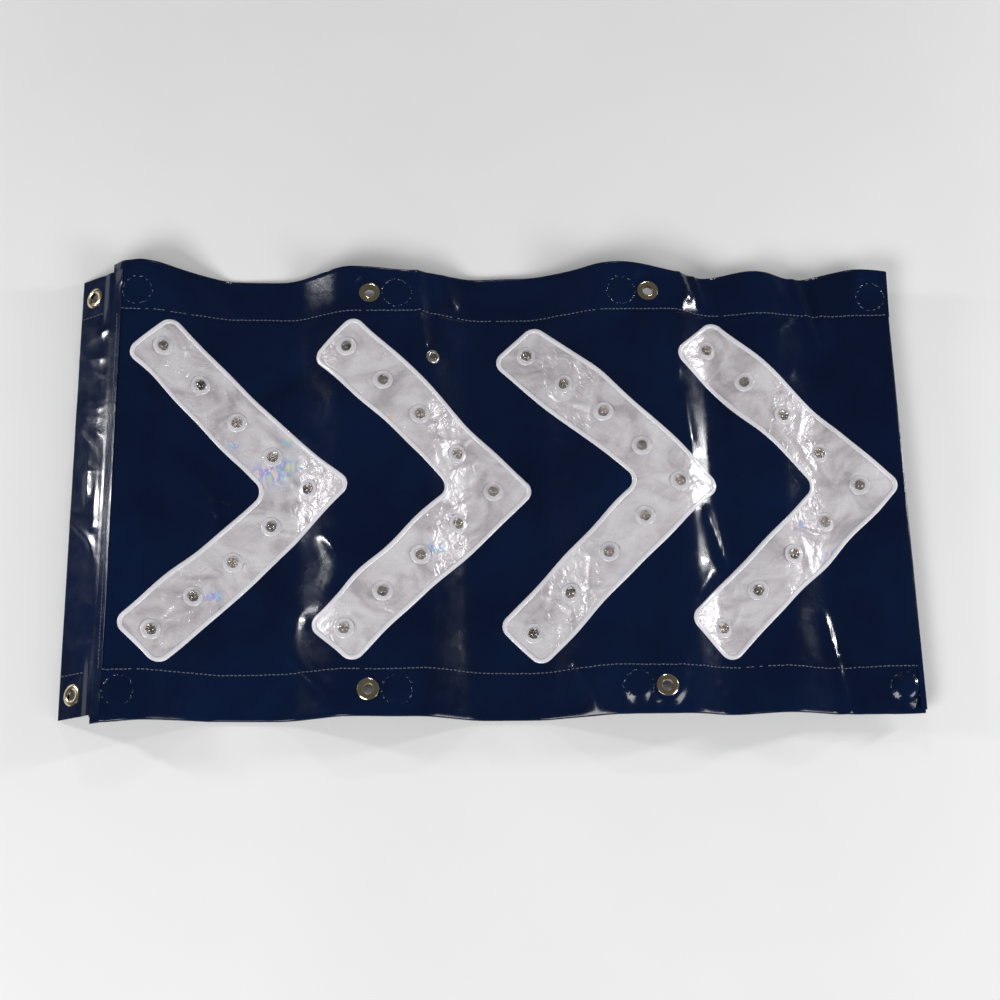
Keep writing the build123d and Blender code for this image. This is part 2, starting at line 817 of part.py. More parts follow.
with BuildPart() as hinge_pin:
    with BuildSketch(Plane.YZ.offset(case_barrels_x[0])):
        with Locations((hinge_y, hinge_z)):
            Circle(pin_radius)
    extrude(amount=case_barrels_x[1] + case_barrel_length - case_barrels_x[0])
save(hinge_pin, "hinge_pin")

with BuildPart() as circuit_board:
    with BuildSketch(Plane.XY.offset(board_bottom)):
        add(
            rectangle(
                inner_low_x + board_margin,
                inner_high_x - board_margin,
                electronics_near + clearance,
                electronics_far - clearance,
            )
        )
        add(circles(cover_screw_spots, boss_radius + clearance), mode=Mode.SUBTRACT)
        add(circles(board_screw_spots, screw_radius + clearance), mode=Mode.SUBTRACT)
    extrude(amount=board_depth)
save(circuit_board, "circuit_board")

with BuildPart() as board_components:
    with BuildSketch(Plane.XY.offset(board_bottom)):
        add(rectangle(box_x + 9, box_x + 19, button_y - 2, button_y + 4))
        add(rectangle(box_x - 20, box_x - 12, button_y - 3, button_y + 5))
    extrude(amount=-2.2)
    with BuildSketch(Plane.XY.offset(board_bottom)):
        add(circles([(box_x - 10, electronics_far - 6), (box_x + 10, electronics_far - 6)], 3))
    extrude(amount=-7)
save(board_components, "board_components")

with BuildPart() as push_switch:
    with Locations((box_x, button_y, board_bottom)):
        Box(switch_size, switch_size, switch_depth, align=(Align.CENTER, Align.CENTER, Align.MAX))
save(push_switch, "push_switch")

flange_z = seal_low + clearance
stem_top = board_bottom - switch_depth - button_travel - clearance
with BuildPart() as power_button:
    with BuildSketch(Plane.XY.offset(box_bottom - button_proud)):
        add(circles([(box_x, button_y)], button_radius))
    extrude(amount=flange_z - box_bottom + button_proud)
    fillet(power_button.edges().group_by(Axis.Z)[0], radius=button_proud / 2)
    with BuildSketch(Plane.XY.offset(flange_z)):
        add(circles([(box_x, button_y)], button_radius + button_flange))
    extrude(amount=button_flange)
    with BuildSketch(Plane.XY.offset(flange_z)):
        add(circles([(box_x, button_y)], button_radius / 3))
    extrude(amount=stem_top - flange_z)
save(power_button, "power_button")

cell_pitch = 2 * cell_radius + cell_gap
cell_x = [box_x + (i - (cell_count - 1) / 2) * cell_pitch for i in range(cell_count)]
cell_middle_y = (bay_near + bay_far) / 2

with BuildPart() as battery_cells:
    for i, x in enumerate(cell_x):
        way = 1 if i % 2 else -1
        with BuildSketch(Plane.XZ.offset(-cell_middle_y)):
            with Locations((x, cell_z)):
                Circle(cell_radius)
        extrude(amount=(cell_length - nub_height) / 2, both=True)
        with BuildSketch(Plane.XZ.offset(-cell_middle_y)):
            with Locations((x, cell_z)):
                Circle(nub_radius)
        extrude(amount=way * (cell_length - nub_height) / 2 + way * nub_height)
save(battery_cells, "battery_cells")

with BuildPart() as contact_plates:
    for y in (bay_near + plate_thickness / 2, bay_far - plate_thickness / 2):
        with Locations((box_x, y, cell_z)):
            Box(inner_high_x - inner_low_x - 2 * clearance, plate_thickness, cell_radius * 1.6)
save(contact_plates, "contact_plates")

with BuildPart() as contact_springs:
    for i, x in enumerate(cell_x):
        way = 1 if i % 2 else -1
        start = cell_middle_y + way * (cell_length - nub_height) / 2
        stop = (bay_far - plate_thickness) if way > 0 else (bay_near + plate_thickness)
        with BuildSketch(Plane.XZ.offset(-start)):
            with Locations((x, cell_z)):
                Circle(spring_radius)
                Circle(spring_radius - spring_wire, mode=Mode.SUBTRACT)
        extrude(amount=start - stop)
save(contact_springs, "contact_springs")

with BuildPart() as case_screws:
    for spots, head_z in ((cover_screw_spots, box_bottom), (board_screw_spots, board_bottom - 1)):
        with BuildSketch(Plane.XY.offset(head_z)):
            add(circles(spots, screw_head_radius))
        extrude(amount=1)
        with BuildSketch(Plane.XY.offset(head_z)):
            add(circles(spots, screw_radius))
        extrude(amount=5)
save(case_screws, "case_screws")

with BuildPart() as case_rivets:
    with BuildSketch(Plane.XY.offset(box_ceiling - rivet_head)):
        add(circles(rivet_spots, rivet_head_radius))
    extrude(amount=rivet_head)
    with BuildSketch(Plane.XY.offset(box_ceiling - rivet_head)):
        add(circles(rivet_spots, rivet_radius))
    extrude(amount=rivet_head + box_wall + back_skin + rivet_washer)
    with BuildSketch(Plane.XY.offset(box_top + back_skin + rivet_washer)):
        add(circles(rivet_spots, rivet_radius * 1.4))
    extrude(amount=rivet_head / 2)
save(case_rivets, "case_rivets")

with BuildPart() as rivet_washers:
    with BuildSketch(Plane.XY.offset(box_top + back_skin)):
        add(circles(rivet_spots, rivet_washer_radius))
        add(circles(rivet_spots, rivet_radius + pin_clearance), mode=Mode.SUBTRACT)
    extrude(amount=rivet_washer)
save(rivet_washers, "rivet_washers")
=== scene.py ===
"""Looks for a soft guide sheet: navy tarpaulin, four lit chevrons, hems, eyelets and a link flap."""
import json
import logging
import math
from dataclasses import dataclass, field
from enum import Enum
from typing import Callable, Sequence

import bmesh
import bpy
import numpy as np
from mathutils import Matrix, Vector
from mathutils.bvhtree import BVHTree


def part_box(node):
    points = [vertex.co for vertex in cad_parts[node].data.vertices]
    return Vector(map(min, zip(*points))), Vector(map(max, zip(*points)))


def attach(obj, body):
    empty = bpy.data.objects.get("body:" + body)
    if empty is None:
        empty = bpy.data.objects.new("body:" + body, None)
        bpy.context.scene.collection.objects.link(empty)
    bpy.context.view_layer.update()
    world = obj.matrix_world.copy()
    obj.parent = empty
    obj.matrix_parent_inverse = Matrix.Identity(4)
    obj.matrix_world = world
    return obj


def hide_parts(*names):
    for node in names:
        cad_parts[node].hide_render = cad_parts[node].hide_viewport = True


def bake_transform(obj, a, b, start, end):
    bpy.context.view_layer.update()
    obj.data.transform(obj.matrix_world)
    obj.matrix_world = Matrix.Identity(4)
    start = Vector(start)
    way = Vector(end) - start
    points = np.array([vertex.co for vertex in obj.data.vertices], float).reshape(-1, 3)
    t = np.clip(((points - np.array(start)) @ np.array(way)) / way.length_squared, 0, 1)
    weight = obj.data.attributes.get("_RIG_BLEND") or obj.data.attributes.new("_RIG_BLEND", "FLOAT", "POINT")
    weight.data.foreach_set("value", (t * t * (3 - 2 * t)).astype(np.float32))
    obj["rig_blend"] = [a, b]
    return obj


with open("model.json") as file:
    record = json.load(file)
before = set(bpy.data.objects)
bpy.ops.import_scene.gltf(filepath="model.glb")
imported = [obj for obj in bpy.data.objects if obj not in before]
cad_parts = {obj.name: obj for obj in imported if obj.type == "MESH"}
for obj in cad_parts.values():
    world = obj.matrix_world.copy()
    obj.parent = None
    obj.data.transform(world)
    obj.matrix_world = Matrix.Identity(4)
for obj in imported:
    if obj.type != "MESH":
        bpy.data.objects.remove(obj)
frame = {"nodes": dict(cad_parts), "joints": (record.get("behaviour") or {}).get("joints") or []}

LOG = logging.getLogger("guide_sheet")
MM = 0.001
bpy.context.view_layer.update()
Surface = Callable[[np.ndarray, np.ndarray], np.ndarray]


class Side(Enum):
    """The two long edges of the sheet."""

    NEAR = -1
    FAR = 1


# ---------------------------------------------------------------- finishes
@dataclass
class Shader:
    """A node tree under construction, with short calls for the nodes that the finishes share."""

    name: str
    scale_mm: float = 1.0
    material: bpy.types.Material = field(init=False)

    def __post_init__(self) -> None:
        """Start the material with one shader on Object coordinates."""
        self.material = bpy.data.materials.new(self.name)
        self.material.use_nodes = True
        self.tree = self.material.node_tree
        self.principled = self.tree.nodes["Principled BSDF"]
        coords = self.tree.nodes.new("ShaderNodeTexCoord")
        self.place = coords.outputs["Object"]

    def link(self, source: bpy.types.NodeSocket, target: bpy.types.NodeSocket) -> None:
        """Join two sockets."""
        self.tree.links.new(source, target)

    def set(self, **values: object) -> "Shader":
        """Set the shader's own sockets.

        Args:
            values: Socket names with underscores for spaces.

        Returns:
            This shader.
        """
        for key, value in values.items():
            self.principled.inputs[key.replace("_", " ")].default_value = value
        return self

    def noise(self, size: float, detail: float = 3.0, distortion: float = 0.0,
              stretch: tuple[float, float, float] = (1, 1, 1)) -> bpy.types.NodeSocket:
        """Cloudy noise.

        Args:
            size: Size of its features in metres.
            detail: Octaves.
            distortion: How far it folds into itself.
            stretch: Scale along each axis, for grain.

        Returns:
            The grey output.
        """
        mapping = self.tree.nodes.new("ShaderNodeMapping")
        mapping.inputs["Scale"].default_value = stretch
        self.link(self.place, mapping.inputs["Vector"])
        node = self.tree.nodes.new("ShaderNodeTexNoise")
        node.inputs["Scale"].default_value = 1 / size
        node.inputs["Detail"].default_value = detail
        node.inputs["Distortion"].default_value = distortion
        self.link(mapping.outputs["Vector"], node.inputs["Vector"])
        return node.outputs["Fac"]

    def cells(self, size: float, feature: str = "F1") -> bpy.types.NodeSocket:
        """Cell pattern.

        Args:
            size: Cell size in metres.
            feature: Which distance the cells give.

        Returns:
            The distance output.
        """
        node = self.tree.nodes.new("ShaderNodeTexVoronoi")
        node.feature = feature
        node.inputs["Scale"].default_value = 1 / size
        self.link(self.place, node.inputs["Vector"])
        return node.outputs["Distance"]

    def ribs(self, size: float, turn: float, distortion: float = 0.0) -> bpy.types.NodeSocket:
        """Fine parallel ribs in plan.

        Args:
            size: Rib spacing in metres.
            turn: Their direction in degrees.
            distortion: How far they wander.

        Returns:
            The grey output.
        """
        mapping = self.tree.nodes.new("ShaderNodeMapping")
        mapping.inputs["Rotation"].default_value = (0, 0, math.radians(turn))
        self.link(self.place, mapping.inputs["Vector"])
        node = self.tree.nodes.new("ShaderNodeTexWave")
        node.inputs["Scale"].default_value = 1 / (size * 3.2)
        node.inputs["Distortion"].default_value = distortion
        self.link(mapping.outputs["Vector"], node.inputs["Vector"])
        return node.outputs["Fac"]

    def attribute(self, name: str) -> bpy.types.NodeSocket:
        """A number carried by the mesh itself."""
        node = self.tree.nodes.new("ShaderNodeAttribute")
        node.attribute_name = name
        return node.outputs["Fac"]

    def ramp(self, source: bpy.types.NodeSocket,
             *stops: tuple[float, tuple[float, float, float]]) -> bpy.types.NodeSocket:
        """Colours along a grey value.

        Args:
            source: The grey value.
            stops: Positions and their colours.

        Returns:
            The colour output.
        """
        node = self.tree.nodes.new("ShaderNodeValToRGB")
        elements = node.color_ramp.elements
        for element, (position, colour) in zip((elements[1], elements[0]), (stops[-1], stops[0])):
            element.position = position
            element.color = (*colour, 1)
        for position, colour in stops[1:-1]:
            elements.new(position).color = (*colour, 1)
        self.link(source, node.inputs["Fac"])
        return node.outputs["Color"]

    def span(self, source: bpy.types.NodeSocket, low: float, high: float,
             to_low: float, to_high: float) -> bpy.types.NodeSocket:
        """Carry a grey value from one range to another.

        Args:
            source: The grey value.
            low: Where the new range starts.
            high: Where it ends.
            to_low: Value given at low.
            to_high: Value given at high.

        Returns:
            The new value.
        """
        node = self.tree.nodes.new("ShaderNodeMapRange")
        for key, value in (("From Min", low), ("From Max", high), ("To Min", to_low), ("To Max", to_high)):
            node.inputs[key].default_value = value
        self.link(source, node.inputs["Value"])
        return node.outputs["Result"]

    def mix(self, share: bpy.types.NodeSocket, first: bpy.types.NodeSocket,
            second: bpy.types.NodeSocket) -> bpy.types.NodeSocket:
        """Blend two colours.

        Args:
            share: How much of the second.
            first: First colour.
            second: Second colour.

        Returns:
            The blended colour.
        """
        node = self.tree.nodes.new("ShaderNodeMix")
        node.data_type = "RGBA"
        colours = [socket for socket in node.inputs if socket.type == "RGBA"]
        self.link(share, node.inputs[0])
        self.link(first, colours[0])
        self.link(second, colours[1])
        return next(socket for socket in node.outputs if socket.type == "RGBA")

    def bump(self, *layers: tuple[bpy.types.NodeSocket, float]) -> "Shader":
        """Relief made of several layers, each with its depth in metres.

        Args:
            layers: Grey values and depths.

        Returns:
            This shader.
        """
        normal = None
        for height, depth in layers:
            node = self.tree.nodes.new("ShaderNodeBump")
            node.inputs["Strength"].default_value = 1.0
            node.inputs["Distance"].default_value = depth
            self.link(height, node.inputs["Height"])
            if normal is not None:
                self.link(normal, node.inputs["Normal"])
            normal = node.outputs["Normal"]
        self.link(normal, self.principled.inputs["Normal"])
        return self

    def colour(self, source: bpy.types.NodeSocket) -> "Shader":
        """Drive the base colour."""
        self.link(source, self.principled.inputs["Base Color"])
        return self

    def roughness(self, source: bpy.types.NodeSocket) -> "Shader":
        """Drive the roughness."""
        self.link(source, self.principled.inputs["Roughness"])
        return self


@dataclass(frozen=True)
class GlossyTarpaulin:
    """PVC-coated cloth: deep colour under a wet-looking coat with a faint weave."""

    name: str = "navy_tarpaulin"
    deep: tuple[float, float, float] = (0.0003, 0.0048, 0.025)
    worn: tuple[float, float, float] = (0.0010, 0.0092, 0.043)
    weave_mm: float = 1.1

    def build(self) -> bpy.types.Material:
        """Make the material.

        Returns:
            The tarpaulin's material.
        """
        s = Shader(self.name)
        clouds = s.noise(0.09, 5, 0.6)
        s.colour(s.ramp(clouds, (0.35, self.deep), (0.75, self.worn)))
        s.roughness(s.span(s.noise(0.035, 4, 1.0), 0.3, 0.7, 0.10, 0.20))
        s.set(Coat_Weight=0.3, Coat_Roughness=0.04, Specular_IOR_Level=0.28)
        weave = s.ribs(self.weave_mm * MM, 0)
        cross = s.ribs(self.weave_mm * MM, 90)
        s.bump((weave, 0.000012), (cross, 0.000012), (s.noise(0.016, 3, 0.8), 0.00016))
        return s.material


@dataclass(frozen=True)
class PrismaticFilm:
    """Reflective film: pearly grey with patches that are partly painted reflections, fine prism cells, soft
    wrinkles and a few painted rainbow glints.
    """

    name: str = "pearl_prism_film"
    cell_mm: float = 3.2

    def build(self) -> bpy.types.Material:
        """Make the material.

        Returns:
            The film's material.
        """
        s = Shader(self.name)
        # Pearly grey patches in the base colour: partly the film's own tone, partly painted reflections of
        # the lights.
        tone_and_sheen_wash = s.noise(0.055, 4, 1.8)
        pearl_and_sheen = s.ramp(tone_and_sheen_wash, (0.34, (0.55, 0.52, 0.55)), (0.44, (0.70, 0.66, 0.69)),
                       (0.54, (0.80, 0.765, 0.80)), (0.66, (0.88, 0.85, 0.885)))
        # Painted rainbow glints: rainbow colours mixed into the base colour by the mesh's glint share.
        hues = s.noise(0.016, 2, 2.5, (1, 0.45, 1))
        rainbow = s.ramp(hues, (0.30, (0.95, 0.85, 0.55)), (0.42, (0.35, 0.75, 1.0)),
                         (0.50, (0.50, 0.35, 1.0)), (0.58, (1.0, 0.95, 0.95)), (0.70, (1.0, 0.62, 0.25)))
        s.colour(s.mix(s.attribute("glint"), pearl_and_sheen, rainbow))
        s.roughness(s.span(s.noise(0.02, 3, 1.0), 0.3, 0.7, 0.16, 0.38))
        s.set(Metallic=0.2, Coat_Weight=0.8, Coat_Roughness=0.04)
        s.bump((s.cells(self.cell_mm * MM, "F2"), 0.00006), (s.noise(0.018, 4, 2.2), 0.0012))
        return s.material


@dataclass(frozen=True)
class PlainFinish:
    """A moulded, painted, plated or sewn finish: one colour that drifts a little, with its own grain."""

    name: str
    tone: tuple[float, float, float]
    roughness: float = 0.4
    metallic: float = 0.0
    coat: float = 0.0
    grain_mm: float = 1.0
    grain_depth_mm: float = 0.02
    drift: float = 0.25
    stretch: tuple[float, float, float] = (1, 1, 1)
    transmission: float = 0.0

    def build(self) -> bpy.types.Material:
        """Make the material.

        Returns:
            The finish as a material.
        """
        s = Shader(self.name)
        low = tuple(c * (1 - self.drift) for c in self.tone)
        high = tuple(min(1.0, c * (1 + self.drift)) for c in self.tone)
        s.colour(s.ramp(s.noise(self.grain_mm * MM * 9, 4, 0.8), (0.3, low), (0.7, high)))
        grain = s.noise(self.grain_mm * MM, 3, 0.3, self.stretch)
        s.roughness(s.span(grain, 0.3, 0.7, self.roughness * 0.75, min(1.0, self.roughness * 1.3)))
        s.set(Metallic=self.metallic, Coat_Weight=self.coat, Coat_Roughness=0.06)
        if self.transmission:
            s.set(Transmission_Weight=self.transmission, IOR=1.49)
        s.bump((grain, self.grain_depth_mm * MM))
        return s.material


class Finish(Enum):
    """Every finish on the sheet."""

    TARPAULIN = GlossyTarpaulin()
    WELD = PlainFinish("weld_marks", (0.004, 0.012, 0.05), 0.07, coat=1.0, grain_mm=1.2,
                       grain_depth_mm=0.05)
    FILM = PrismaticFilm()
    RIM = PlainFinish("white_border", (0.80, 0.79, 0.84), 0.28, coat=0.6, grain_mm=2.5,
                      grain_depth_mm=0.12, drift=0.05)
    THREAD = PlainFinish("grey_thread", (0.10, 0.115, 0.16), 0.55, grain_mm=0.4,
                         grain_depth_mm=0.1, drift=0.35)
    NICKEL = PlainFinish("nickel_plate", (0.70, 0.60, 0.42), 0.16, 1.0, grain_mm=1.5,
                         grain_depth_mm=0.02, drift=0.12)
    STEEL = PlainFinish("stainless_steel", (0.56, 0.56, 0.57), 0.3, 1.0, grain_mm=0.5,
                        stretch=(1, 12, 1), drift=0.1)
    LENS = PlainFinish("lens_plastic", (0.97, 0.97, 0.98), 0.04, coat=1.0, grain_mm=3,
                       grain_depth_mm=0.01, drift=0.01, transmission=1.0)
    # Milky flange: its bright tone is partly the flange's own colour, partly a painted ring highlight around
    # each lens.
    FLANGE = PlainFinish("milky_flange_and_ring_highlight", (0.73, 0.71, 0.75), 0.15, coat=0.8, grain_mm=2,
                         grain_depth_mm=0.10, drift=0.10)
    WELL = PlainFinish("lamp_well", (0.46, 0.39, 0.34), 0.22, 0.35, coat=0.5, grain_mm=1.6,
                       grain_depth_mm=0.5, drift=0.9)
    CHIP = PlainFinish("lamp_chip", (0.22, 0.10, 0.035), 0.3, coat=0.5, grain_mm=0.5, drift=0.4)
    BOARD = PlainFinish("lamp_board", (0.075, 0.072, 0.070), 0.25, 0.7, grain_mm=0.8, drift=0.6)
    FOAM = PlainFinish("black_foam", (0.03, 0.03, 0.032), 0.8, grain_mm=0.6, grain_depth_mm=0.1)
    RIBBON = PlainFinish("copper_ribbon", (0.30, 0.17, 0.06), 0.3, coat=0.5, grain_mm=0.5, stretch=(8, 1, 1))
    MAGNET = PlainFinish("plated_magnet", (0.45, 0.45, 0.47), 0.25, 1.0, grain_mm=0.8)
    CASE = PlainFinish("moulded_case", (0.022, 0.023, 0.025), 0.42, grain_mm=0.45, grain_depth_mm=0.03)
    SEAL = PlainFinish("box_seal", (0.012, 0.012, 0.012), 0.75, grain_mm=0.5, grain_depth_mm=0.05)
    BUTTON = PlainFinish("button_skin", (0.30, 0.02, 0.015), 0.5, grain_mm=0.5, grain_depth_mm=0.03)
    CIRCUIT = PlainFinish("circuit_board", (0.01, 0.10, 0.04), 0.35, coat=0.5, grain_mm=0.8)
    COMPONENT = PlainFinish("moulded_component", (0.015, 0.015, 0.017), 0.45, grain_mm=0.3)
    CELL = PlainFinish("battery_jacket", (0.05, 0.05, 0.06), 0.2, coat=0.6, grain_mm=2)
    BEZEL = PlainFinish("sensor_bezel", (0.40, 0.38, 0.36), 0.25, 0.8, grain_mm=0.5)
    WINDOW = PlainFinish("sensor_window", (0.10, 0.085, 0.07), 0.06, coat=1.0, grain_mm=1,
                         grain_depth_mm=0.005)

    def material(self) -> bpy.types.Material:
        """The finish's one material, made the first time that it is asked for."""
        return bpy.data.materials.get(self.value.name) or self.value.build()


CAD_FINISHES: dict[Finish, tuple[str, ...]] = {
    Finish.NICKEL: ("sheet_eyelets", "sheet_washers", "flap_eyelets", "flap_washers"),
    Finish.STEEL: ("hinge_pin", "contact_plates", "contact_springs", "case_screws", "case_rivets",
                   "rivet_washers"),
    Finish.CHIP: ("led_chips",),
    Finish.BOARD: ("led_boards",),
    Finish.FOAM: ("foam_pad_1", "foam_pad_2", "foam_pad_3", "foam_pad_4"),
    Finish.RIBBON: ("bus_ribbon", "lamp_ribbon_1", "lamp_ribbon_2", "lamp_ribbon_3", "lamp_ribbon_4",
                    "sensor_lead", "power_lead"),
    Finish.MAGNET: ("link_magnets",),
    Finish.CASE: ("case_base", "case_cover", "battery_lid"),
    Finish.SEAL: ("case_seal",),
    Finish.BUTTON: ("power_button",),
    Finish.CIRCUIT: ("circuit_board",),
    Finish.COMPONENT: ("board_components", "push_switch"),
    Finish.CELL: ("battery_cells",),
    Finish.BEZEL: ("sensor_bezel",),
    Finish.WINDOW: ("sensor_window",),
    Finish.TARPAULIN: ("flap_anchor", "edge_weld"),
}


# ---------------------------------------------------------------- what the frame says
def points_of(node: str) -> np.ndarray:
    """All corners of a CAD node's mesh, in metres."""
    return np.array([v.co for v in frame["nodes"][node].data.vertices], float)


@dataclass
class Profile:
    """The wave that a layer of cloth lies in, read from its CAD node: height by place along the sheet."""

    node: str
    step: float = 1.0 * MM
    clear_y: float = 20.0 * MM

    def __post_init__(self) -> None:
        """Cast down onto the node along one line that crosses no hole."""
        points = points_of(self.node)
        mesh = frame["nodes"][self.node].data
        tree = BVHTree.FromPolygons([v.co for v in mesh.vertices], [p.vertices for p in mesh.polygons])
        low, high = points[:, 0].min(), points[:, 0].max()
        self.low, self.high = float(low), float(high)
        places, heights = [], []
        for x in np.arange(low + 0.2 * MM, high - 0.2 * MM, self.step):
            hit = tree.ray_cast(Vector((x, self.clear_y, 1.0)), Vector((0, 0, -1)))[0]
            if hit is not None:
                places.append(x)
                heights.append(hit.z)
        self.places, self.heights = np.array(places), np.array(heights)

    def at(self, x: np.ndarray) -> np.ndarray:
        """Height of the layer's upper face."""
        return np.interp(x, self.places, self.heights)

    def normal(self, x: float) -> Vector:
        """Upward normal of the layer."""
        slope = float(self.at(np.array([x + MM]))[0] - self.at(np.array([x - MM]))[0]) / (2 * MM)
        return Vector((-slope, 0, 1)).normalized()


@dataclass
class Layout:
    """Where the hard parts are: lamps, eyelets, magnets and chevrons, all read from the frame."""

    chevrons: int = 4
    lamps_per_arm: int = 4
    loose_band: float = 6 * MM
    front: Profile = field(default_factory=lambda: Profile("front_sheet"))
    flap: Profile = field(default_factory=lambda: Profile("link_flap"))

    def __post_init__(self) -> None:
        """Find each repeated part's centres."""
        low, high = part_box("top_hem")
        self.left, self.right, self.half = low.x, high.x, high.y
        self.hem = low.y
        self.lamps = [self.lamp_row(f"lamp_lenses_{n + 1}") for n in range(self.chevrons)]
        self.eyelets = self.corners("sheet_eyelets")
        self.flap_eyelets = self.corners("flap_eyelets")
        self.magnets = self.corners("link_magnets")
        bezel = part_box("sensor_bezel")
        self.sensor = tuple((bezel[0] + bezel[1])[:2][i] / 2 for i in (0, 1))
        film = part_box("chevron_film_1")
        apex = self.lamps[0][self.lamps_per_arm]
        self.arm_half = (film[1].x - apex[0]) / math.sqrt(2) + self.loose_band

    def lamp_row(self, node: str) -> list[tuple[float, float]]:
        """Centres of the lamps of one chevron.

        Args:
            node: Name of the chevron's lens node.

        Returns:
            Places in metres, from its near tail to its far tail.
        """
        points = points_of(node)
        pitch = (points[:, 1].max() - points[:, 1].min()) / (2 * self.lamps_per_arm + 0.525)
        rows = np.round(points[:, 1] / pitch)
        centres = []
        for row in range(-self.lamps_per_arm, self.lamps_per_arm + 1):
            x = points[rows == row][:, 0]
            centres.append((float(x.min() + x.max()) / 2, row * pitch))
        return centres

    def corners(self, node: str) -> list[tuple[float, float]]:
        """Find discs that stand well apart along the sheet, one on each long edge.

        Args:
            node: Name of the node that holds the discs.

        Returns:
            Their centres in metres.
        """
        points = points_of(node)
        order = np.sort(points[:, 0])
        cuts = np.where(np.diff(order) > 4 * MM)[0]
        groups = np.split(order, cuts + 1)
        far = points[points[:, 1] > 0][:, 1]
        y = float(far.min() + far.max()) / 2
        return [(float(g.min() + g.max()) / 2, side * y) for g in groups for side in (-1, 1)]

    def chevron_distance(self, x: np.ndarray, y: np.ndarray, number: int) -> np.ndarray:
        """Distance in plan from a chevron's middle line.

        Args:
            x: Places along the sheet, in metres.
            y: Places across it.
            number: Which chevron, from 0 beside the flap.

        Returns:
            Distances in metres.
        """
        tip = self.lamps[number][self.lamps_per_arm]
        tail = self.lamps[number][-1]
        dx, dy = tail[0] - tip[0], tail[1] - tip[1]
        t = np.clip(((x - tip[0]) * dx + (np.abs(y) - tip[1]) * dy) / (dx * dx + dy * dy), 0, 1.08)
        return np.hypot(x - tip[0] - t * dx, np.abs(y) - tip[1] - t * dy)


# ---------------------------------------------------------------- how the cloth lies
@dataclass(frozen=True)
class Crease:
    """A sharp fold: a ridge or furrow along a line that fades at both ends. Sizes in millimetres."""

    start: tuple[float, float]
    end: tuple[float, float]
    width: float
    height: float

    def lift(self, x: np.ndarray, y: np.ndarray) -> np.ndarray:
        """Height that the crease adds.

        Args:
            x: Places along the sheet, in metres.
            y: Places across it.

        Returns:
            Added height in metres.
        """
        ax, ay = (value * MM for value in self.start)
        bx, by = (value * MM for value in self.end)
        dx, dy = bx - ax, by - ay
        t = ((x - ax) * dx + (y - ay) * dy) / (dx * dx + dy * dy)
        inside = np.clip(t, 0, 1)
        away = np.hypot(x - ax - inside * dx, y - ay - inside * dy) / (self.width * MM)
        fade = np.sqrt(np.sin(np.pi * np.clip(inside, 0.001, 0.999)))
        return self.height * MM * fade * np.exp(-away ** 1.25)


@dataclass(frozen=True)
class Bulge:
    """A place on a long edge where the cloth rises and swings outward. Sizes in millimetres."""

    side: Side
    x: float
    reach: float
    rise: float
    out: float

    def share(self, x: np.ndarray, y: np.ndarray, half: float, depth: float) -> np.ndarray:
        """How strongly a point follows the bulge.

        Args:
            x: Places along the sheet, in metres.
            y: Places across it.
            half: Half the sheet's height.
            depth: How far in from the edge the bulge reaches.

        Returns:
            Shares from 0 to 1.
        """
        along = np.exp(-((x / MM - self.x) / self.reach) ** 2)
        edge = np.clip((self.side.value * y - (half - depth)) / depth, 0, 1)
        return along * edge ** 1.6


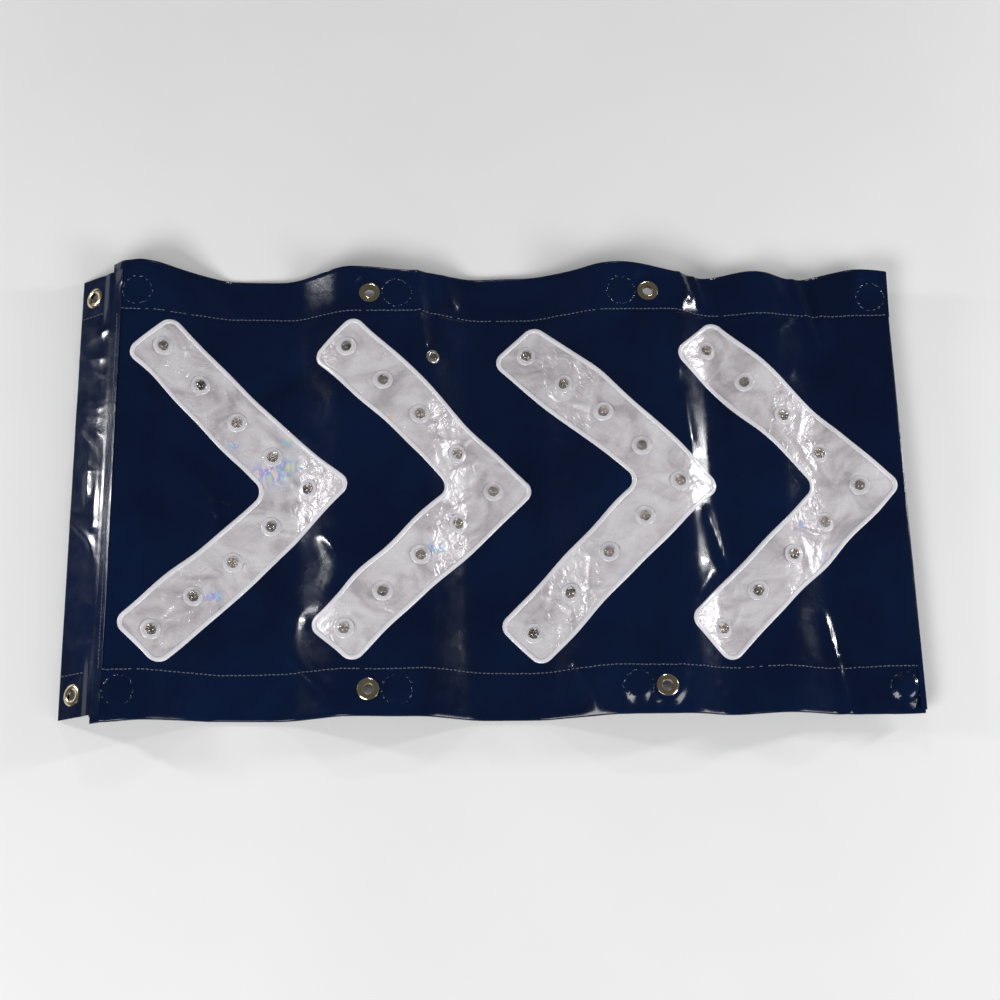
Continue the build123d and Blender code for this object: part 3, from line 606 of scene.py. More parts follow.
@dataclass
class Drape:
    """The sheet's shape over the CAD wave: folds, small crumples, bumps over magnets, edges that swing."""

    layout: Layout
    seed: int = 11
    creases: tuple[Crease, ...] = (
        Crease((-104, 262), (-94, 150), 4, 3.4),
        Crease((-92, 262), (-84, 160), 4.5, -2.2),
        Crease((-74, 250), (-58, 212), 4, 2.8),
        Crease((-6, 190), (-4, 135), 7, 2.6),
        Crease((186, 262), (205, 215), 4.5, 3.6),
        Crease((205, 262), (222, 205), 4, 2.6),
        Crease((196, 225), (180, 108), 6, 2.6),
        Crease((188, 110), (196, 30), 6, 2.6),
        Crease((206, -20), (230, -110), 6, 2.8),
        Crease((214, -90), (160, -240), 9, 3.0),
        Crease((320, 262), (352, 150), 5.5, 4.4),
        Crease((346, 250), (360, 170), 4.5, 3.2),
        Crease((296, 244), (330, 205), 5, 2.8),
        Crease((330, -140), (350, -262), 5.2, 4.0),
        Crease((354, -170), (372, -250), 4.2, 2.8),
        Crease((-206, -50), (-160, -118), 6, 3.4),
        Crease((-190, -70), (-150, -125), 5, -2.0),
        Crease((-222, -140), (-214, -190), 5, 3.0),
        Crease((-240, -185), (-190, -240), 5, 2.6),
        Crease((-352, -96), (-338, -135), 5, 2.4),
        Crease((-334, 4), (-322, -34), 4, 2.8),
        Crease((-318, -12), (-284, -30), 3.6, 2.2),
        Crease((-300, 60), (-282, 20), 6, 2.2),
        Crease((-396, 200), (-392, -190), 12, 2.2),
        Crease((-372, 160), (-380, 40), 10, -1.4),
        Crease((60, -195), (84, -245), 5, 2.6),
        Crease((-20, -190), (4, -240), 4.5, 2.4),
        Crease((424, 175), (416, -200), 12, 1.6),
        Crease((398, 140), (420, 60), 7, 1.6),
        Crease((-40, 60), (-14, -40), 10, 1.6),
        Crease((16, -196), (-16, -140), 8, 1.6),
    )
    bulges: tuple[Bulge, ...] = (
        Bulge(Side.FAR, -400, 60, 9, 10),
        Bulge(Side.NEAR, -420, 70, 0, 7),
        Bulge(Side.FAR, -150, 55, 7, 3),
        Bulge(Side.FAR, -232, 40, 2, -3),
        Bulge(Side.FAR, 40, 60, 5, 3),
        Bulge(Side.FAR, 148, 46, 9, 6),
        Bulge(Side.FAR, 226, 30, -2, -3),
        Bulge(Side.FAR, 296, 34, 5, 2),
        Bulge(Side.FAR, 345, 20, -1, -3),
        Bulge(Side.FAR, 425, 50, 9, 6),
        Bulge(Side.NEAR, 0, 480, 0, 4),
        Bulge(Side.FAR, 10, 500, 0, 2),
        Bulge(Side.NEAR, -310, 50, -3, -1),
        Bulge(Side.NEAR, 106, 40, -8, 0),
        Bulge(Side.NEAR, 190, 50, -8, 0),
        Bulge(Side.NEAR, 425, 50, -9, 1),
    )
    fold_gain: float = 1.3
    centre_shift: float = 22.5 * MM
    crumples: int = 56
    ripples: int = 14
    ripple_height: float = 0.26 * MM
    magnet_hold: float = 10 * MM
    magnet_rise: float = 1.5 * MM
    magnet_edge: float = 13.2 * MM
    magnet_shoulder: float = 0.7 * MM
    furrow_depth: float = 0.8 * MM
    furrow_radius: float = 16.5 * MM
    furrow_width: float = 2.2 * MM
    layers: float = 3.0 * MM
    end_rise: float = 6.0 * MM
    floor: float = 0.4 * MM

    def __post_init__(self) -> None:
        """Scatter the small crumples over the loose cloth."""
        dice = np.random.default_rng(self.seed)
        small = []
        for _ in range(self.crumples):
            x, y = dice.uniform(-405, 445), dice.uniform(-240, 240)
            turn = dice.normal(math.pi / 2, 0.55)
            length = dice.uniform(14, 58)
            dx, dy = math.cos(turn) * length / 2, math.sin(turn) * length / 2
            height = dice.uniform(0.5, 1.7) * dice.choice((1, 1, -0.6))
            small.append(Crease((x - dx, y - dy), (x + dx, y + dy), dice.uniform(3.2, 6.5), height))
        self.small = tuple(small)
        self.waves = [
            (dice.uniform(0.045, 0.13), dice.uniform(0, math.pi), dice.uniform(0, 2 * math.pi))
            for _ in range(self.ripples)
        ]

    def near_hard(self, x: np.ndarray, y: np.ndarray) -> np.ndarray:
        """How free the cloth is: 0 on a hard part, 1 well away from all.

        Args:
            x: Places along the sheet, in metres.
            y: Places across it.

        Returns:
            Shares from 0 to 1.
        """
        free = np.ones_like(x)
        layout = self.layout
        pins = [(p, 13 * MM, 9 * MM) for p in layout.eyelets]
        pins += [(layout.sensor, 9 * MM, 8 * MM)]
        for (px, py), inner, soft in pins:
            free = np.minimum(free, np.clip((np.hypot(x - px, y - py) - inner) / soft, 0, 1))
        for number in range(layout.chevrons):
            away = layout.chevron_distance(x, y, number) - layout.arm_half + 4 * MM
            free = np.minimum(free, np.clip(away / (16 * MM), 0, 1) * 0.94 + 0.06)
        return free * free * (3 - 2 * free)

    def at_end(self, x: np.ndarray) -> np.ndarray:
        """0 at the seam beside the flap and 1 further in."""
        return np.clip((x - self.layout.left - 2 * MM) / (30 * MM), 0, 1)

    def lift(self, x: np.ndarray, y: np.ndarray) -> np.ndarray:
        """Height of the front above the CAD wave.

        Args:
            x: Places along the sheet, in metres.
            y: Places across it.

        Returns:
            Added height in metres.
        """
        free = self.near_hard(x, y) * self.at_end(x)
        sum_of = np.zeros_like(x)
        for size, turn, phase in self.waves:
            along = x * math.cos(turn) + y * math.sin(turn) * 0.6
            sum_of += self.ripple_height * np.sin(2 * math.pi * along / size + phase)
        for crease in self.creases:
            sum_of += self.fold_gain * crease.lift(x - self.centre_shift, y)
        for crease in self.small:
            sum_of += crease.lift(x, y)
        total = sum_of * free
        for bulge in self.bulges:
            total = total + bulge.rise * MM * bulge.share(x, y, self.layout.half, 50 * MM) * free
        for px, py in self.layout.magnets:
            away = np.hypot(x - px, y - py)
            total = total * np.clip((away - self.magnet_hold) / self.magnet_hold, 0, 1)
            total = total + self.magnet_rise / (1 + np.exp((away - self.magnet_edge) / self.magnet_shoulder))
            furrow = (away - self.furrow_radius) / self.furrow_width
            total = total - self.furrow_depth * np.exp(-furrow ** 2)
        inner = np.clip((self.layout.half - 52 * MM - np.abs(y)) / (12 * MM), 0, 1)
        return np.maximum(total, -1.1 * MM * inner - 12 * MM * (1 - inner))

    def swing(self, x: np.ndarray, y: np.ndarray) -> np.ndarray:
        """Sideways move of a long edge, in metres.

        Args:
            x: Places along the sheet.
            y: Places across it.

        Returns:
            How far the cloth moves along Y.
        """
        move = np.zeros_like(y)
        for bulge in self.bulges:
            move = move + bulge.side.value * bulge.out * MM * bulge.share(x, y, self.layout.half, 22 * MM)
        return move

    def end_lift(self, x: np.ndarray) -> np.ndarray:
        """How much the cloth is held up beside the flap, so that it runs over to the flap in one curve."""
        return self.end_rise * np.clip(1 - (x - self.layout.left) / (15 * MM), 0, 1)

    def front(self, x: np.ndarray, y: np.ndarray) -> np.ndarray:
        """Height of the front sheet's face."""
        least = self.floor + self.layers
        return np.maximum(self.layout.front.at(x) + self.lift(x, y) + self.end_lift(x), least)

    def back(self, x: np.ndarray, y: np.ndarray) -> np.ndarray:
        """Height of the back sheet's outer face, which is flat behind the chevrons and follows the edges.

        Args:
            x: Places along the sheet, in metres.
            y: Places across it.

        Returns:
            Heights in metres.
        """
        edge = np.clip((np.abs(y) - self.layout.hem + 14 * MM) / (18 * MM), 0, 1)
        lift = self.lift(x, y)
        for px, py in self.layout.magnets:
            lift = lift * np.clip((np.hypot(x - px, y - py) - 14 * MM) / (12 * MM), 0, 1)
        face = self.layout.front.at(x) - self.layers + lift * edge + self.end_lift(x)
        return np.maximum(face, self.floor + 0.1 * MM)


# ---------------------------------------------------------------- making meshes
class Workshop:
    """Shared hand tools: making an object from points, shaping primitives, finishing pieces."""

    @staticmethod
    def deselect() -> None:
        """Leave nothing selected."""
        if bpy.context.object and bpy.context.object.mode != "OBJECT":
            bpy.ops.object.mode_set(mode="OBJECT")
        bpy.ops.object.select_all(action="DESELECT")

    @staticmethod
    def take(piece: bpy.types.Object) -> None:
        """Make one piece the active and only selected one."""
        Workshop.deselect()
        piece.select_set(True)
        bpy.context.view_layer.objects.active = piece

    @staticmethod
    def cloth(name: str, points: np.ndarray, faces: Sequence[Sequence[int]]) -> bpy.types.Object:
        """A mesh object from points in metres.

        Args:
            name: The piece's name.
            points: Corners, one row each.
            faces: Corner numbers of each face.

        Returns:
            The new object.
        """
        mesh = bpy.data.meshes.new(name)
        mesh.from_pydata([tuple(p) for p in points], [], [tuple(f) for f in faces])
        mesh.update()
        piece = bpy.data.objects.new(name, mesh)
        bpy.context.scene.collection.objects.link(piece)
        return piece

    @staticmethod
    def thicken(piece: bpy.types.Object, thickness: float) -> None:
        """Give cloth its thickness, below its outer face, and apply it.

        Args:
            piece: The cloth.
            thickness: Its thickness in metres.
        """
        Workshop.take(piece)
        wall = piece.modifiers.new("thickness", "SOLIDIFY")
        wall.thickness = thickness
        wall.offset = -1
        wall.use_even_offset = False
        bpy.ops.object.modifier_apply(modifier=wall.name)

    @staticmethod
    def smooth(piece: bpy.types.Object, angle: float = 50) -> None:
        """Shade smooth except over sharp edges."""
        Workshop.take(piece)
        bpy.ops.object.shade_smooth_by_angle(angle=math.radians(angle))

    @staticmethod
    def dress(piece: bpy.types.Object, finish: Finish, slot: str, body: str = "sheet") -> None:
        """Give a piece its finish and the body that it moves with.

        Args:
            piece: The piece to dress.
            finish: Its finish.
            slot: Not used.
            body: The body that it rides on, unless it is blended between two.
        """
        piece.data.materials.clear()
        piece.data.materials.append(finish.material())
        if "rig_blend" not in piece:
            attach(piece, body)

    @staticmethod
    def turned(name: str, profile: Sequence[tuple[float, float]], segments: int) -> bpy.types.Object:
        """A turned solid: a circle extruded and scaled step by step along its profile, closed at both ends.

        Args:
            name: Name of the pattern piece.
            profile: Radius and height pairs in metres, from the bottom middle to the top.
            segments: Facets around.

        Returns:
            The turned piece about the Z axis.
        """
        Workshop.deselect()
        radius, height = profile[0]
        bpy.ops.mesh.primitive_circle_add(vertices=segments, radius=radius, fill_type="NOTHING",
                                          location=(0, 0, height))
        piece = bpy.context.object
        piece.name = name
        bpy.ops.object.transform_apply(location=True)
        bpy.ops.object.mode_set(mode="EDIT")
        bpy.ops.mesh.select_all(action="SELECT")
        bpy.ops.mesh.edge_face_add()
        bpy.ops.mesh.select_all(action="SELECT")
        bpy.ops.mesh.region_to_loop()
        for next_radius, next_height in profile[1:]:
            bpy.ops.mesh.extrude_edges_move(
                TRANSFORM_OT_translate={"value": (0, 0, next_height - height)})
            share = next_radius / radius
            bpy.ops.transform.resize(value=(share, share, 1), center_override=(0, 0, next_height))
            radius, height = next_radius, next_height
        bpy.ops.mesh.edge_face_add()
        bpy.ops.mesh.select_all(action="SELECT")
        bpy.ops.mesh.normals_make_consistent(inside=False)
        bpy.ops.object.mode_set(mode="OBJECT")
        return piece

    @staticmethod
    def stamp(name: str, pattern: bpy.types.Object, places: Sequence[Matrix]) -> bpy.types.Object:
        """One piece that holds a copy of a pattern at every place; the pattern is used up.

        Args:
            name: Name of the finished piece.
            pattern: The piece to repeat.
            places: Where the copies go.

        Returns:
            The piece with all copies in one mesh.
        """
        base = np.array([v.co for v in pattern.data.vertices], float)
        faces = [tuple(p.vertices) for p in pattern.data.polygons]
        slots = [p.material_index for p in pattern.data.polygons]
        points, polygons = [], []
        for number, place in enumerate(places):
            turn = np.array(place, float)
            points.append(base @ turn[:3, :3].T + turn[:3, 3])
            polygons += [tuple(i + number * len(base) for i in face) for face in faces]
        piece = Workshop.cloth(name, np.concatenate(points), polygons)
        for material in pattern.data.materials:
            piece.data.materials.append(material)
        piece.data.polygons.foreach_set("material_index", slots * len(places))
        bpy.data.objects.remove(pattern)
        return piece


def grid_faces(rows: int, columns: int) -> list[tuple[int, int, int, int]]:
    """Four-sided faces of a grid whose points run column by column in each row."""
    return [
        (r * columns + c, r * columns + c + 1, (r + 1) * columns + c + 1, (r + 1) * columns + c)
        for r in range(rows - 1)
        for c in range(columns - 1)
    ]


# ---------------------------------------------------------------- the sheet
@dataclass
class Tarpaulin:
    """The navy body: front and back sheets, and the folded hems around the long edges."""

    layout: Layout
    drape: Drape
    front_step: float = 3.4 * MM
    back_step: float = 6.0 * MM
    skin: float = 0.45 * MM
    lamp_opening: float = 8.0 * MM
    eyelet_opening: float = 6.5 * MM
    sensor_opening: float = 5.0 * MM
    hem_turn: float = 0.6 * MM
    hem_round: float = 1.6 * MM
    hem_proud: float = 0.5 * MM
    end_turn: float = 8 * MM
    end_fold: tuple[tuple[float, float], ...] = (
        (0.8, -0.4), (1.2, -1.2), (0.9, -2.1), (-0.6, -2.5), (-8.0, -2.5))

    def columns(self, step: float, low: float, high: float) -> np.ndarray:
        """Evenly spread places along the sheet."""
        return np.linspace(low, high, int(round((high - low) / step)) + 1)

    def open_faces(self, points: np.ndarray, faces: list[tuple[int, ...]],
                   openings: Sequence[tuple[tuple[float, float], float]],
                   surface: Surface | None = None) -> list[tuple[int, ...]]:
        """Leave out the faces over openings and round the openings' edges.

        Args:
            points: Corners, which are moved onto the round edges.
            faces: All faces.
            openings: Centres and radii in metres.
            surface: Height by place, which the moved corners keep to.

        Returns:
            The faces that stay.
        """
        keep = faces
        for (cx, cy), radius in openings:
            away = np.hypot(points[:, 0] - cx, points[:, 1] - cy)
            near = set(np.where(away < radius * 1.02)[0].tolist())
            dropped = [f for f in keep if any(i in near for i in f)]
            keep = [f for f in keep if not any(i in near for i in f)]
            rim = sorted({i for f in dropped for i in f} - near)
            before = points[rim].copy()
            scale = radius / np.maximum(away[rim], 1e-6)
            points[rim, 0] = cx + (before[:, 0] - cx) * scale
            points[rim, 1] = cy + (before[:, 1] - cy) * scale
            if surface is not None:
                after = surface(points[rim, 0], points[rim, 1])
                points[rim, 2] += after - surface(before[:, 0], before[:, 1])
        return keep

    def front(self) -> bpy.types.Object:
        """The front sheet, turned down around the right-hand end.

        Returns:
            The finished piece.
        """
        layout, drape = self.layout, self.drape
        x = self.columns(self.front_step, layout.left, layout.right - 1.2 * MM)
        y = self.columns(self.front_step, -layout.half + self.hem_turn, layout.half - self.hem_turn)
        gx, gy = np.meshgrid(x, y)
        gz = drape.front(gx, gy)
        gy2 = gy + drape.swing(gx, gy)
        edge = gx[:, -1:]
        low = drape.back(gx[:, -1:], gy[:, -1:])
        extra_x = [edge + dx * MM for dx, _ in self.end_fold]
        top = gz[:, -1:]
        extra_z = [top + (top - low) * dz / 3.0 * (0.95 if dz < -2 else 1) for _, dz in self.end_fold]
        gx = np.concatenate([gx, *extra_x], 1)
        gz = np.concatenate([gz, *extra_z], 1)
        gy2 = np.concatenate([gy2] + [gy2[:, -1:]] * len(self.end_fold), 1)
        points = np.stack([gx.ravel(), gy2.ravel(), gz.ravel()], 1)
        faces = grid_faces(*gx.shape)
        openings = [(p, self.lamp_opening) for row in layout.lamps for p in row]
        openings += [(p, self.eyelet_opening) for p in layout.eyelets]
        openings += [(layout.sensor, self.sensor_opening)]
        faces = self.open_faces(points, faces, openings, drape.front)
        piece = Workshop.cloth("front_cloth", points, faces)
        self.finish(piece, ("front_sheet",))
        return piece

    def back(self) -> bpy.types.Object:
        """The back sheet, flat where the box is riveted on.

        Returns:
            The finished piece.
        """
        layout, drape = self.layout, self.drape
        x = self.columns(self.back_step, layout.left, layout.right - 1.5 * MM)
        y = self.columns(self.back_step, -layout.half + self.hem_turn, layout.half - self.hem_turn)
        gx, gy = np.meshgrid(x, y)
        gz = drape.back(gx, gy)
        points = np.stack([gx.ravel(), (gy + drape.swing(gx, gy)).ravel(), gz.ravel()], 1)
        faces = [f[::-1] for f in grid_faces(*gx.shape)]
        faces = self.open_faces(points, faces, [(p, self.eyelet_opening) for p in layout.eyelets], drape.back)
        piece = Workshop.cloth("back_cloth", points, faces)
        self.finish(piece, ("back_sheet",))
        return piece

    def hem(self, side: Side) -> bpy.types.Object:
        """A hem: a strip folded over a long edge, front and back.

        Args:
            side: Which long edge.

        Returns:
            The finished piece.
        """
        layout, drape = self.layout, self.drape
        over, bend = self.hem_proud, self.hem_round
        depth = np.linspace(0, 1, 13)
        width = layout.half - layout.hem
        front_y = layout.hem + depth * (width - bend)
        x = self.columns(self.front_step, layout.left, layout.right)
        rows = []
        for y in front_y:
            rows.append((side.value * y, "front", over))
        for turn in (0.25, 0.5, 0.75):
            rows.append((turn, "edge", 0.0))
        for y in front_y[::-1]:
            rows.append((side.value * y, "back", over))
        points = []
        for value, kind, rise in rows:
            if kind == "edge":
                y = np.full_like(x, side.value * (layout.half - bend))
                top, bottom = drape.front(x, y) + over, drape.back(x, y) - over
                middle, radius = (top + bottom) / 2, (top - bottom) / 2
                angle = math.pi * (0.5 - value)
                z = middle + radius * math.sin(angle)
                out = y + drape.swing(x, y) + side.value * bend * math.cos(angle)
            else:
                y = np.full_like(x, value)
                z = drape.front(x, y) + rise if kind == "front" else drape.back(x, y) - rise
                out = y + drape.swing(x, y)
            points.append(np.stack([x, out, np.maximum(z, 0.1 * MM)], 1))
        points = np.concatenate(points)
        faces = grid_faces(len(rows), len(x))
        if side is Side.NEAR:
            faces = [f[::-1] for f in faces]
        openings = [(p, self.eyelet_opening) for p in layout.eyelets if p[1] * side.value > 0]
        faces = self.open_faces(points, faces, openings, drape.front)
        name = "far_hem" if side is Side.FAR else "near_hem"
        piece = Workshop.cloth(name, points, faces)
        self.finish(piece, ("top_hem",) if side is Side.FAR else ("bottom_hem",))
        if side is Side.FAR:
            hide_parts("hem_stiffeners")
        return piece

    def finish(self, piece: bpy.types.Object, nodes: tuple[str, ...]) -> None:
        """Thicken a cloth piece, dress it and let it stand for its CAD nodes.

        Args:
            piece: The cloth.
            nodes: Names of the nodes that it replaces.
        """
        Workshop.thicken(piece, self.skin)
        Workshop.smooth(piece, 60)
        Workshop.dress(piece, Finish.TARPAULIN, "navy_pvc")
        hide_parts(*nodes)

    def build(self) -> list[bpy.types.Object]:
        """Make all four pieces."""
        return [self.front(), self.back(), self.hem(Side.FAR), self.hem(Side.NEAR)]


@dataclass
class LinkFlap:
    """The strip that links to the next sheet: it bends over the hinge line and lies down to the ground."""

    layout: Layout
    drape: Drape
    step: float = 2.4 * MM
    skin: float = 0.9 * MM
    overlap: float = 11.0 * MM
    proud: float = 1.1 * MM
    eyelet_opening: float = 6.3 * MM
    flat_length: float = 54 * MM
    ripples: int = 26

    def face(self, x: np.ndarray, y: np.ndarray) -> np.ndarray:
        """Height of the flap's face: flat around the eyelets, and one even slope between them.

        Args:
            x: Places along the sheet, in metres.
            y: Places across it.

        Returns:
            Heights in metres.
        """
        flap, left = self.layout.flap, self.layout.left
        held = self.profile(x, y)
        top = self.drape.front(np.full_like(x, left), y) + self.proud
        share = (x - flap.low) / (left - flap.low)
        even = flap.at(np.full_like(x, flap.low)) * (1 - share) + top * share
        calm = np.clip((abs(self.layout.flap_eyelets[0][1]) - np.abs(y) - 14 * MM) / (34 * MM), 0, 1)
        calm = np.where(x < left, calm, 0)
        return held * (1 - calm) + even * calm

    def profile(self, x: np.ndarray, y: np.ndarray) -> np.ndarray:
        """Height of the flap's face, which climbs onto the sheet's end and is sewn down there.

        Args:
            x: Places along the sheet, in metres.
            y: Places across it.

        Returns:
            Heights in metres.
        """
        flap = self.layout.flap
        top = flap.at(np.minimum(x, flap.high))
        inner = self.drape.front(np.maximum(x, self.layout.left), y) + self.proud
        share = np.clip((x - flap.high + 8 * MM) / (self.layout.left - flap.high + 8 * MM), 0, 1)
        share = share * share * (3 - 2 * share)
        return top * (1 - share) + inner * share

    def build(self) -> bpy.types.Object:
        """Make the flap.

        Returns:
            The finished piece.
        """
        layout, flap = self.layout, self.layout.flap
        x = np.linspace(flap.low + 0.3 * MM, layout.left + self.overlap, 30)
        half = layout.half - 0.8 * MM
        y = np.linspace(-half, half, int(2 * half / self.step))
        gx, gy = np.meshgrid(x, y)
        gz = self.face(gx, gy)
        free = np.clip((layout.left - gx) / (10 * MM), 0, 1)
        for px, py in layout.flap_eyelets:
            free = np.minimum(free, np.clip((np.hypot(gx - px, gy - py) - 12 * MM) / (14 * MM), 0, 1))
        dice = np.random.default_rng(5)
        ripple = np.zeros_like(gx)
        for _ in range(self.ripples):
            cy, cx = dice.uniform(-210, 210) * MM, dice.uniform(flap.low, layout.left)
            turn, size = dice.normal(1.2, 0.6), dice.uniform(5, 13) * MM
            along = (gx - cx) * math.cos(turn) + (gy - cy) * math.sin(turn)
            reach = np.exp(-(np.hypot(gx - cx, gy - cy) / (26 * MM)) ** 2)
            ripple += dice.uniform(0.5, 1.3) * MM * np.exp(-np.abs(along) / size * 1.6) * reach
        gz = gz + ripple * free
        points = np.stack([gx.ravel(), gy.ravel(), gz.ravel()], 1)
        faces = grid_faces(*gx.shape)
        opener = Tarpaulin(layout, self.drape)
        openings = [(p, self.eyelet_opening) for p in layout.flap_eyelets]
        faces = opener.open_faces(points, faces, openings, lambda px, py: flap.at(px))
        piece = Workshop.cloth("flap_cloth", points, faces)
        Workshop.thicken(piece, self.skin)
        Workshop.smooth(piece, 60)
        hinge = next(j for j in frame["joints"] if j["name"] == "flap_fold")["pos_m"]
        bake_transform(piece, "sheet", "flap", start=(hinge[0] + 3 * MM, 0, hinge[2]),
                 end=(hinge[0] - 6 * MM, 0, hinge[2]))
        Workshop.dress(piece, Finish.TARPAULIN, "navy_pvc")
        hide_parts("link_flap")
        return piece


# ---------------------------------------------------------------- chevrons
@dataclass
class ChevronFace:
    """One chevron: wrinkled prismatic film inside a raised welded border."""

    layout: Layout
    drape: Drape
    number: int
    step: float = 2.0 * MM
    border: float = 5.2 * MM
    border_rise: float = 1.25 * MM
    corner: float = 14 * MM
    hole: float = 7.4 * MM
    arm_half: float = 33.5 * MM
    arm_run: float = 160 * MM
    tail_over: float = 22 * MM
    wrinkles: int = 46
    lens_profile: tuple[tuple[float, float], ...] = (
        (0.1, -0.5), (4.3, -0.5), (6.0, -0.5), (6.1, 0.5), (10.6, 0.45), (11.0, 0.75), (10.7, 1.15),
        (9.6, 1.45), (7.0, 1.35), (6.2, 1.5), (5.7, 2.1), (5.3, 3.4), (4.5, 4.8), (3.3, 5.9),
        (1.8, 6.5), (0.1, 6.65))

    def outline(self, inset: float) -> np.ndarray:
        """The chevron's edge with round corners, drawn in by an inset.

        Args:
            inset: Distance inwards from the edge, in metres.

        Returns:
            Points about 2 mm apart, anticlockwise.
        """
        tip_x, _ = self.layout.lamps[self.number][self.layout.lamps_per_arm]
        half = self.arm_half - inset
        slant = half * math.sqrt(2)
        run = self.arm_run + (self.tail_over - inset) / math.sqrt(2)
        s = half / math.sqrt(2)
        corners = [
            (tip_x + slant, 0.0), (tip_x - run + s, run + s), (tip_x - run - s, run - s),
            (tip_x - slant, 0.0), (tip_x - run - s, s - run), (tip_x - run + s, -run - s),
        ]
        radii = [self.corner - inset] * 3 + [self.corner + inset] + [self.corner - inset] * 2
        path = []
        count = len(corners)
        for i, (corner, radius) in enumerate(zip(corners, radii)):
            here = Vector(corner)
            before = (Vector(corners[i - 1]) - here).normalized()
            after = (Vector(corners[(i + 1) % count]) - here).normalized()
            angle = before.angle(after)
            reach = radius / math.tan(angle / 2)
            middle = here + (before + after).normalized() * radius / math.sin(angle / 2)
            first, last = here + before * reach - middle, here + after * reach - middle
            sweep = first.angle(last)
            turns = max(4, int(radius * sweep / (1.6 * MM)))
            sign = 1 if first.x * last.y - first.y * last.x > 0 else -1
            for k in range(turns + 1):
                turn = Matrix.Rotation(sign * sweep * k / turns, 2)
                path.append(middle + turn @ first)
        dense = []
        for i, point in enumerate(path):
            following = path[(i + 1) % len(path)]
            steps = max(1, int((following - point).length / (2.2 * MM)))
            dense += [point.lerp(following, k / steps) for k in range(steps)]
        return np.array([tuple(p) for p in dense])

    def inside(self, x: np.ndarray, y: np.ndarray, loop: np.ndarray) -> np.ndarray:
        """Which points lie inside a closed loop.

        Args:
            x: Places along the sheet, in metres.
            y: Places across it.
            loop: The loop's corners, one row each.

        Returns:
            True for each point inside.
        """
        result = np.zeros(x.shape, bool)
        for (ax, ay), (bx, by) in zip(loop, np.roll(loop, -1, 0)):
            if ay == by:
                continue
            crosses = (ay > y) != (by > y)
            result ^= crosses & (x < (bx - ax) * (y - ay) / (by - ay) + ax)
        return result

    def film_height(self, x: np.ndarray, y: np.ndarray) -> np.ndarray:
        """Height of the film's face with its wrinkles, calm around each lamp.

        Args:
            x: Places along the sheet, in metres.
            y: Places across it.

        Returns:
            Heights in metres.
        """
        dice = np.random.default_rng(40 + self.number)
        tip = self.layout.lamps[self.number][self.layout.lamps_per_arm]
        wrinkle = np.zeros_like(x)
        for _ in range(self.wrinkles):
            t = dice.uniform(-1, 1)
            cx, cy = tip[0] - abs(t) * 0.16 + dice.normal(0, 0.014), t * 0.165
            turn, size = dice.uniform(0, math.pi), dice.uniform(1.6, 4.2) * MM
            length = dice.uniform(9, 30) * MM
            along = (x - cx) * math.cos(turn) + (y - cy) * math.sin(turn)
            across = -(x - cx) * math.sin(turn) + (y - cy) * math.cos(turn)
            bend = across + 8 * along * along * dice.uniform(-1, 1)
            wrinkle += dice.uniform(0.35, 1.25) * MM * np.exp(-(bend / size) ** 2 - (along / length) ** 2)
        calm = np.ones_like(x)
        for px, py in self.layout.lamps[self.number]:
            away = np.hypot(x - px, y - py)
            calm = np.minimum(calm, np.clip((away - 9.5 * MM) / (7 * MM), 0, 1))
        return self.drape.front(x, y) + 0.5 * MM + wrinkle * calm

    def film(self) -> bpy.types.Object:
        """The film.

        Returns:
            The finished piece.
        """
        loop = self.outline(self.border * 0.45)
        low, high = loop.min(0) - self.step, loop.max(0) + self.step
        x = np.arange(low[0], high[0], self.step)
        y = np.arange(low[1], high[1], self.step)
        gx, gy = np.meshgrid(x, y)
        points = np.stack([gx.ravel(), gy.ravel(), np.zeros(gx.size)], 1)
        faces = np.array(grid_faces(*gx.shape))
        centres = points[faces].mean(1)
        faces = faces[self.inside(centres[:, 0], centres[:, 1], loop)]
        faces = [tuple(f) for f in faces]
        opener = Tarpaulin(self.layout, self.drape)
        faces = opener.open_faces(points, faces, [(p, self.hole) for p in self.layout.lamps[self.number]])
        used = sorted({i for f in faces for i in f})
        order = {old: new for new, old in enumerate(used)}
        points = points[used]
        faces = [tuple(order[i] for i in f) for f in faces]
        points[:, 2] = self.film_height(points[:, 0], points[:, 1])
        piece = Workshop.cloth(f"film_{self.number + 1}", points, faces)
        # Share of painted rainbow glint at each point of the film.
        glint = self.glints(points[:, 0], points[:, 1])
        attribute = piece.data.attributes.new("glint", "FLOAT", "POINT")
        attribute.data.foreach_set("value", glint.astype(np.float32))
        Workshop.thicken(piece, 0.35 * MM)
        Workshop.smooth(piece, 60)
        Workshop.dress(piece, Finish.FILM, "prismatic_film")
        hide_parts(f"chevron_film_{self.number + 1}")
        return piece

    def glints(self, x: np.ndarray, y: np.ndarray) -> np.ndarray:
        """Where painted rainbow glints go into the film's colour, from 0 to 1.

        Args:
            x: Places along the sheet, in metres.
            y: Places across it.

        Returns:
            Shares from 0 to 1.
        """
        tip = self.layout.lamps[self.number][self.layout.lamps_per_arm]
        dice = np.random.default_rng(70 + self.number)
        spots = [(dice.uniform(-0.12, -0.02), dice.uniform(-0.12, 0.12), dice.uniform(3, 6))
                 for _ in range(4)]
        # Two large painted glints near the first chevron's tip.
        if self.number == 0:
            spots += [(-0.040, 0.021, 13.0), (-0.022, 0.028, 8.0)]
        share = np.zeros_like(x)
        for dx, dy, size in spots:
            cx, cy = tip[0] + dx, tip[1] + dy
            share = np.maximum(share, np.exp(-(np.hypot((x - cx) / 1.5, y - cy) / (size * MM)) ** 2))
        return np.clip(share * 1.1, 0, 0.9)

